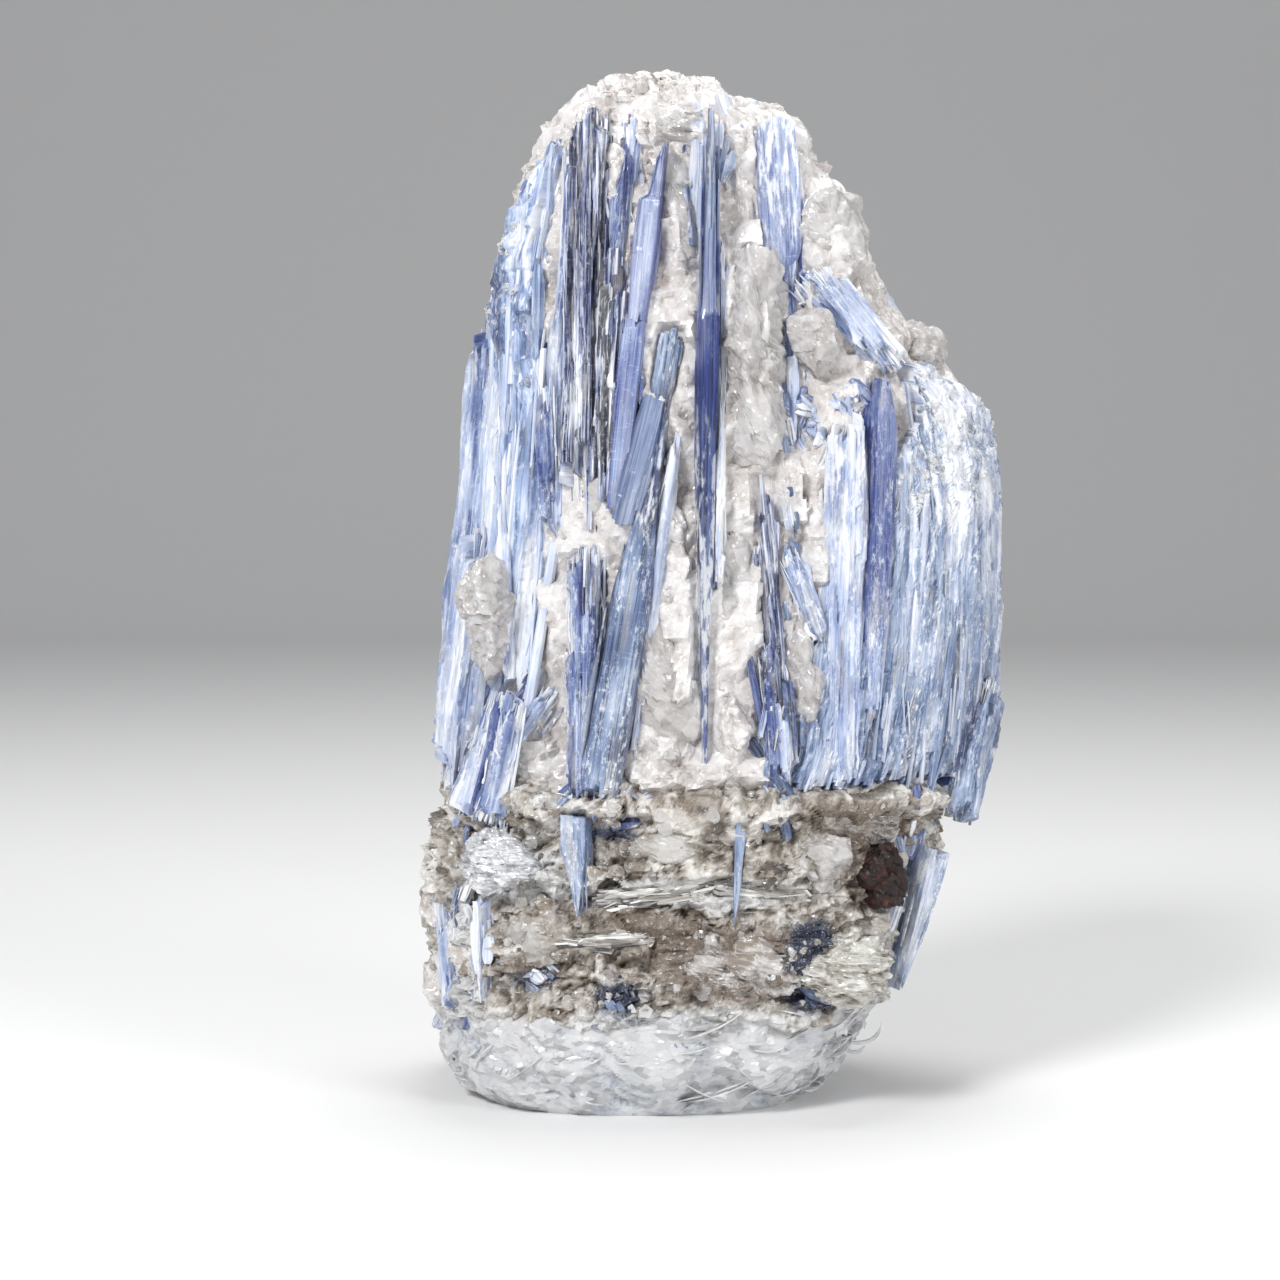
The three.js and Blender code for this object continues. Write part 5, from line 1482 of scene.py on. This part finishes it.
# Places picked over the rock, or over a curtain, between two heights, with the way out of it there.
def scattered(look, seed):
    rng = np.random.default_rng(seed)
    shellPoints, shellWays = grounds[look.get("on", "rock")]
    x, y, z = shellPoints.T
    low, high = look["heights"]
    allowed = (z > low) & (z < high)
    clump = softNoise(shellPoints / look.get("clump", 4), seed) > look.get("rarity", -0.2)
    chance = (allowed & clump) * 1.0
    if "patch" in look:
        middleX, middleZ, halfWide, halfTall = look["patch"]
        chance *= np.exp(-(((x - middleX) / halfWide) ** 2) - ((z - middleZ) / halfTall) ** 2) * (y < 0)
    picked = rng.choice(len(chance), look["count"], p=chance / chance.sum())
    small, large = look["sizes"]
    sizes = small * (large / small) ** (rng.random(look["count"]) ** look.get("mostlySmall", 2))
    ways = unit(shellWays[picked] + rng.normal(0, look.get("tilt", 0.5), (look["count"], 3)))
    return shellPoints[picked] + shellWays[picked] * (sizes * look.get("proud", -0.12))[:, None], ways, sizes


# Short broken laths on the rock, each lying near one slant (degrees from upright, to the right).
def jumbled(look, seed):
    rng = np.random.default_rng(seed)
    places, ways, sizes = scattered(look, seed)
    n = len(sizes)
    slant = np.radians(look["slant"] + rng.normal(0, look["spread"], n))
    along = np.stack([np.sin(slant), 0 * slant, np.cos(slant)], -1)
    along = unit(along - ways * np.sum(along * ways, 1, keepdims=True) * 0.8)
    places = places - ways * (sizes * look.get("sunk", 0.0) * 0.3)[:, None]
    width = sizes * rng.uniform(0.2, 0.42, n)
    return {"foot": places - along * sizes[:, None] / 2, "top": places + along * sizes[:, None] / 2,
            "across": np.cross(along, ways), "width": width, "depth": width * rng.uniform(0.7, 1.2, n),
            "tip": rng.uniform(0.3, 0.9, n), "root": rng.uniform(0.3, 0.9, n), "ledge": width * 0.14,
            "strips": np.full(n, 1.8), "ragged": rng.uniform(0.1, 0.6, n),
            "tone": np.clip(rng.normal(look["tone"], 0.2, n), 0, 1),
            "soot": rng.random(n) * look.get("soot", 0.6), "seed": seed}


# patches of broken laths: how many, where (x, height, half width, half height), their lengths and slant
jumbles = {
    "patchUnderDiagonal": dict(count=170, patch=(10.2, 69.2, 2.8, 2.4), sizes=(0.8, 3.2), slant=-35,
        spread=40, tone=0.68, finish="silk"),
    "jumbledFootPieces": dict(count=120, patch=(6.2, 39, 2.0, 6), sizes=(1.0, 4.5), slant=-8, spread=20,
        tone=0.5, soot=1.0),
    "wideBladeFootPieces": dict(count=50, patch=(-10.4, 31.4, 3.4, 1.6), sizes=(0.8, 2.8), slant=20,
        spread=35, tone=0.5),
    "footBlueMiddle": dict(count=22, patch=(-9.4, 12.2, 1.5, 1.2), sizes=(1.6, 4.2), slant=-35, spread=12,
        tone=0.46, soot=1.0, sunk=0.34, finish="slate"),
    "footBlueLeft": dict(count=18, patch=(-17.6, 14.2, 2.0, 0.9), sizes=(1.6, 4.0), slant=-62, spread=12,
        tone=0.6, soot=0.5, sunk=0.6, finish="dusty"),
    "footBlueRight": dict(count=22, patch=(9.4, 12.6, 1.5, 1.3), sizes=(1.6, 4.0), slant=-58, spread=14,
        tone=0.44, soot=1.2, sunk=0.34, finish="slate"),
    "rightEdgePieces": dict(count=50, patch=(20, 24, 2.4, 6), sizes=(1.0, 4.0), slant=6, spread=8, tone=0.66,
        finish="silk"),
    "leftEdgePieces": dict(count=60, patch=(-25, 20, 2.4, 7), sizes=(1.0, 4.5), slant=3, spread=8, tone=0.74,
        finish="silk"),
    "crownPieces": dict(count=30, patch=(-2, 95, 5, 4), sizes=(1.0, 3.4), slant=2, spread=10, tone=0.74,
        soot=0.3, finish="silk"),
    "middlePieces": dict(count=16, patch=(7.2, 57, 0.6, 6), sizes=(1.2, 3.6), slant=-4, spread=8, tone=0.5,
        soot=0.9),
}
for seed, (name, look) in enumerate(jumbles.items()):
    look = {"heights": (2, 104), "proud": -0.08, "tilt": 0.25, "rarity": -0.3, "clump": 2.5} | look
    made = growBlades(jumbled(look, seed + 111), *grids["piece"])
    addPiece(name, *made[:2], finishes[look.get("finish", "mottled")], "blue_kyanite", [], made[2], 24)

# thin curled spikes that stand off the base at its sides: turn and height of the foot, the way from there to
# the tip, how it bows, its width
spikes = ((62, 6.4, (3.8, -0.6, 2.2), (0.9, 0, -0.9), 0.55), (66, 5.4, (2.2, -0.4, 0.4), (0.2, 0, -0.5), 0.4),
          (-66, 9.0, (-1.2, -0.4, 2.4), (-0.8, 0, 0.3), 0.5),
          (-60, 10.6, (-0.9, -0.3, 1.6), (-0.5, 0, 0.2), 0.4))
feet = np.array([roundAt(turn, z) * 0.985 for turn, z, *rest in spikes])
made = growBlades({"foot": feet, "top": feet + np.array([s[2] for s in spikes]),
                   "across": np.tile((0, 1.0, 0), (4, 1)), "bow": np.array([s[3] for s in spikes]),
                   "width": np.array([s[4] for s in spikes]), "depth": np.full(4, 0.35),
                   "tip": np.full(4, 0.05), "root": np.ones(4), "ledge": np.zeros(4), "strips": np.ones(4),
                   "ragged": np.zeros(4), "seed": 7}, *grids["spike"])
addPiece("baseSpikes", made[0], made[1], finishes["icy"], "mica", [],
         {"tone": 0.7 + 0 * made[2]["tone"], "grain": 0.6 + 0 * made[2]["tone"]}, 40)

# thin folds that lie across the base: how many, lengths in degrees round it, slant, widths
folds = {"count": 46, "spans": (5, 20), "slant": 0.1, "widths": (0.06, 0.2)}


# Each fold follows the base's outline from one turn to another, sags a little and tapers at both ends.
def foldSpec(look, seed):
    rng = np.random.default_rng(seed)
    n = look["count"]
    turn, height, span = rng.uniform(-75, 75, n), rng.uniform(1.5, 10.5, n), rng.uniform(*look["spans"], n)
    rise = span * rng.normal(look["slant"], 0.16, n)
    foot, top = (roundAt(turn + side * span, np.clip(height + side * rise, 0.8, 11)) for side in (-0.5, 0.5))
    out = outwardAt(turn, height)
    sag = np.stack([0 * turn, 0 * turn, rng.normal(-0.2, 0.3, n)], -1)
    middle = (foot + top) / 2
    bulge = np.sum((roundAt(turn, height) - middle) * out, 1, keepdims=True) * out
    return {"foot": foot, "top": top, "across": np.tile((0, 0, 1.0), (n, 1)), "bow": bulge + sag + out * 0.15,
            "width": rng.uniform(*look["widths"], n), "depth": np.full(n, 0.9), "tip": np.full(n, 0.1),
            "root": np.full(n, 0.1), "ledge": np.zeros(n), "strips": np.ones(n), "ragged": np.zeros(n),
            "seed": seed}


made = growBlades(foldSpec(folds, 401), *grids["fold"])
addPiece("baseFolds", made[0], made[1], finishes["icy"], "mica", [],
         {"tone": 0.8 + 0 * made[2]["tone"], "grain": 0.8 + 0 * made[2]["tone"]}, 40)

# chips: how many, between which heights, their sizes, and on what when it isn't the rock
chipGroups = {
    "footBeigeChips": dict(count=420, heights=(11, 34), sizes=(0.4, 2.0), finish="warm", slot="quartz",
        proud=-0.2),
    "footSmokyChips": dict(count=260, heights=(11, 31), sizes=(0.4, 1.8), finish="smoky", slot="schist",
        rarity=0.1, proud=-0.2),
    "footGlassChips": dict(count=300, heights=(11, 34), sizes=(0.4, 1.8), finish="glassy", slot="quartz",
        proud=-0.2),
    "quartzChips": dict(count=900, heights=(33, 104), sizes=(0.35, 1.2), finish="milky", slot="quartz",
        proud=-0.25),
    "crestChips": dict(count=200, heights=(91, 104), sizes=(0.8, 2.4), finish="milky", slot="quartz",
        mostlySmall=1, proud=-0.34),
    "leftCrust": dict(count=260, heights=(72, 95), on="left_sheaf", sizes=(0.3, 1.2), finish="icy",
        slot="mica", rarity=0.0, clump=3, proud=-0.2),
    "rightCrust": dict(count=320, heights=(60, 76), on="right_sheaf", sizes=(0.25, 1.1), finish="icy",
        slot="mica", rarity=0.0, clump=2.5, proud=-0.2),
}
for seed, (name, look) in enumerate(chipGroups.items()):
    places, ways, sizes = scattered(look, seed + 71)
    made = chips(places, sizes, seed + 71)
    addPiece(name, *made[:2], finishes[look["finish"]], look["slot"], [], made[2])

flakeGroups = {
    "silverFlakes": dict(count=1200, heights=(10, 33), sizes=(0.3, 1.2), finish="silver", slot="mica",
        rarity=0.1, flat=0.7, proud=0.05),
    "glitterFlakes": dict(count=420, heights=(60, 75), on="right_sheaf", sizes=(0.25, 1.1), finish="icy",
        slot="mica", tilt=0.6, proud=0.0),
    "baseFlakes": dict(count=420, heights=(1.5, 11.5), sizes=(0.4, 2.0), finish="icy", slot="mica", tilt=0.3,
        rarity=0, proud=0.0),
}
for seed, (name, look) in enumerate(flakeGroups.items()):
    places, ways, sizes = scattered(look, seed + 91)
    ways = unit(ways * (1 - look.get("flat", 0)) + np.array([0, 0, 1]) * look.get("flat", 0))
    made = flakes(places, ways, sizes, seed + 91)
    addPiece(name, *made[:2], finishes[look["finish"]], look["slot"], [], made[2])


print(f"{pieceCount} pieces, {triangleCount} triangles")


# Floor, light and camera

stage = {"camera": (-7.5, -268, 60), "pitchDown": 2.92, "lens": 72.7, "floorTone": (0.86, 0.86, 0.86)}

camera = bpy.data.objects.new("camera", bpy.data.cameras.new("camera"))
bpy.context.scene.collection.objects.link(camera)
camera.data.sensor_width, camera.data.lens = 36, stage["lens"]
camera.data.clip_start, camera.data.clip_end = 0.01, 20
camera.location = np.array(stage["camera"]) * mm
camera.rotation_euler = (np.radians(90 - stage["pitchDown"]), 0, 0)
bpy.context.scene.camera = camera


# The floor runs back and turns up into a backdrop: depth and height from one parameter, a quarter
# circle between two straight stretches.
def backdrop(wide=4.0, ahead=1.5, behind=0.9, bend=0.5, tall=2.5):
    turn = np.linspace(0, np.pi / 2, 24)
    y = np.concatenate([[-ahead], behind + bend * np.sin(turn), [behind + bend]])
    z = np.concatenate([[0], bend - bend * np.cos(turn), [tall]])
    x = np.array([-wide / 2, wide / 2])
    points = np.stack([np.broadcast_to(x, (len(y), 2)), np.repeat(y[:, None], 2, 1),
                       np.repeat(z[:, None], 2, 1)], -1).reshape(-1, 3)
    r = np.arange(len(y) - 1) * 2
    mesh = bpy.data.meshes.new("floor")
    mesh.from_pydata(points.tolist(), [], np.stack([r, r + 1, r + 3, r + 2], -1).tolist())
    mesh.shade_smooth()
    floor = bpy.data.objects.new("floor", mesh)
    bpy.context.scene.collection.objects.link(floor)
    p = Paint("paleFloor")
    mesh.materials.append(p.finish({"Base Color": (*stage["floorTone"], 1), "Roughness": 0.9}))
    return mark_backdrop(floor)


# A round soft lamp that points at a place; places in metres.
def softLight(name, place, aim, size, power):
    lamp = bpy.data.lights.new(name, "AREA")
    lamp.shape, lamp.size, lamp.energy = "DISK", size, power
    light = bpy.data.objects.new(name, lamp)
    bpy.context.scene.collection.objects.link(light)
    light.location = place
    way = Vector(aim) - Vector(place)
    light.rotation_euler = way.to_track_quat("-Z", "Y").to_euler()


backdrop()
softLight("keyLight", (-0.28, -0.42, 0.42), (0, 0, 0.05), 0.18, 2.7)
softLight("fillLight", (0.42, -0.38, 0.25), (0, 0, 0.05), 0.25, 1.2)
softLight("topLight", (0.05, 0.10, 0.6), (0, 0, 0.06), 0.3, 1.6)
world = bpy.data.worlds.new("paleRoom")
world.use_nodes = True
world.node_tree.nodes["Background"].inputs["Color"].default_value = (0.97, 0.98, 1, 1)
world.node_tree.nodes["Background"].inputs["Strength"].default_value = 0.32
bpy.context.scene.world = world
bpy.context.scene.view_settings.view_transform = "Standard"
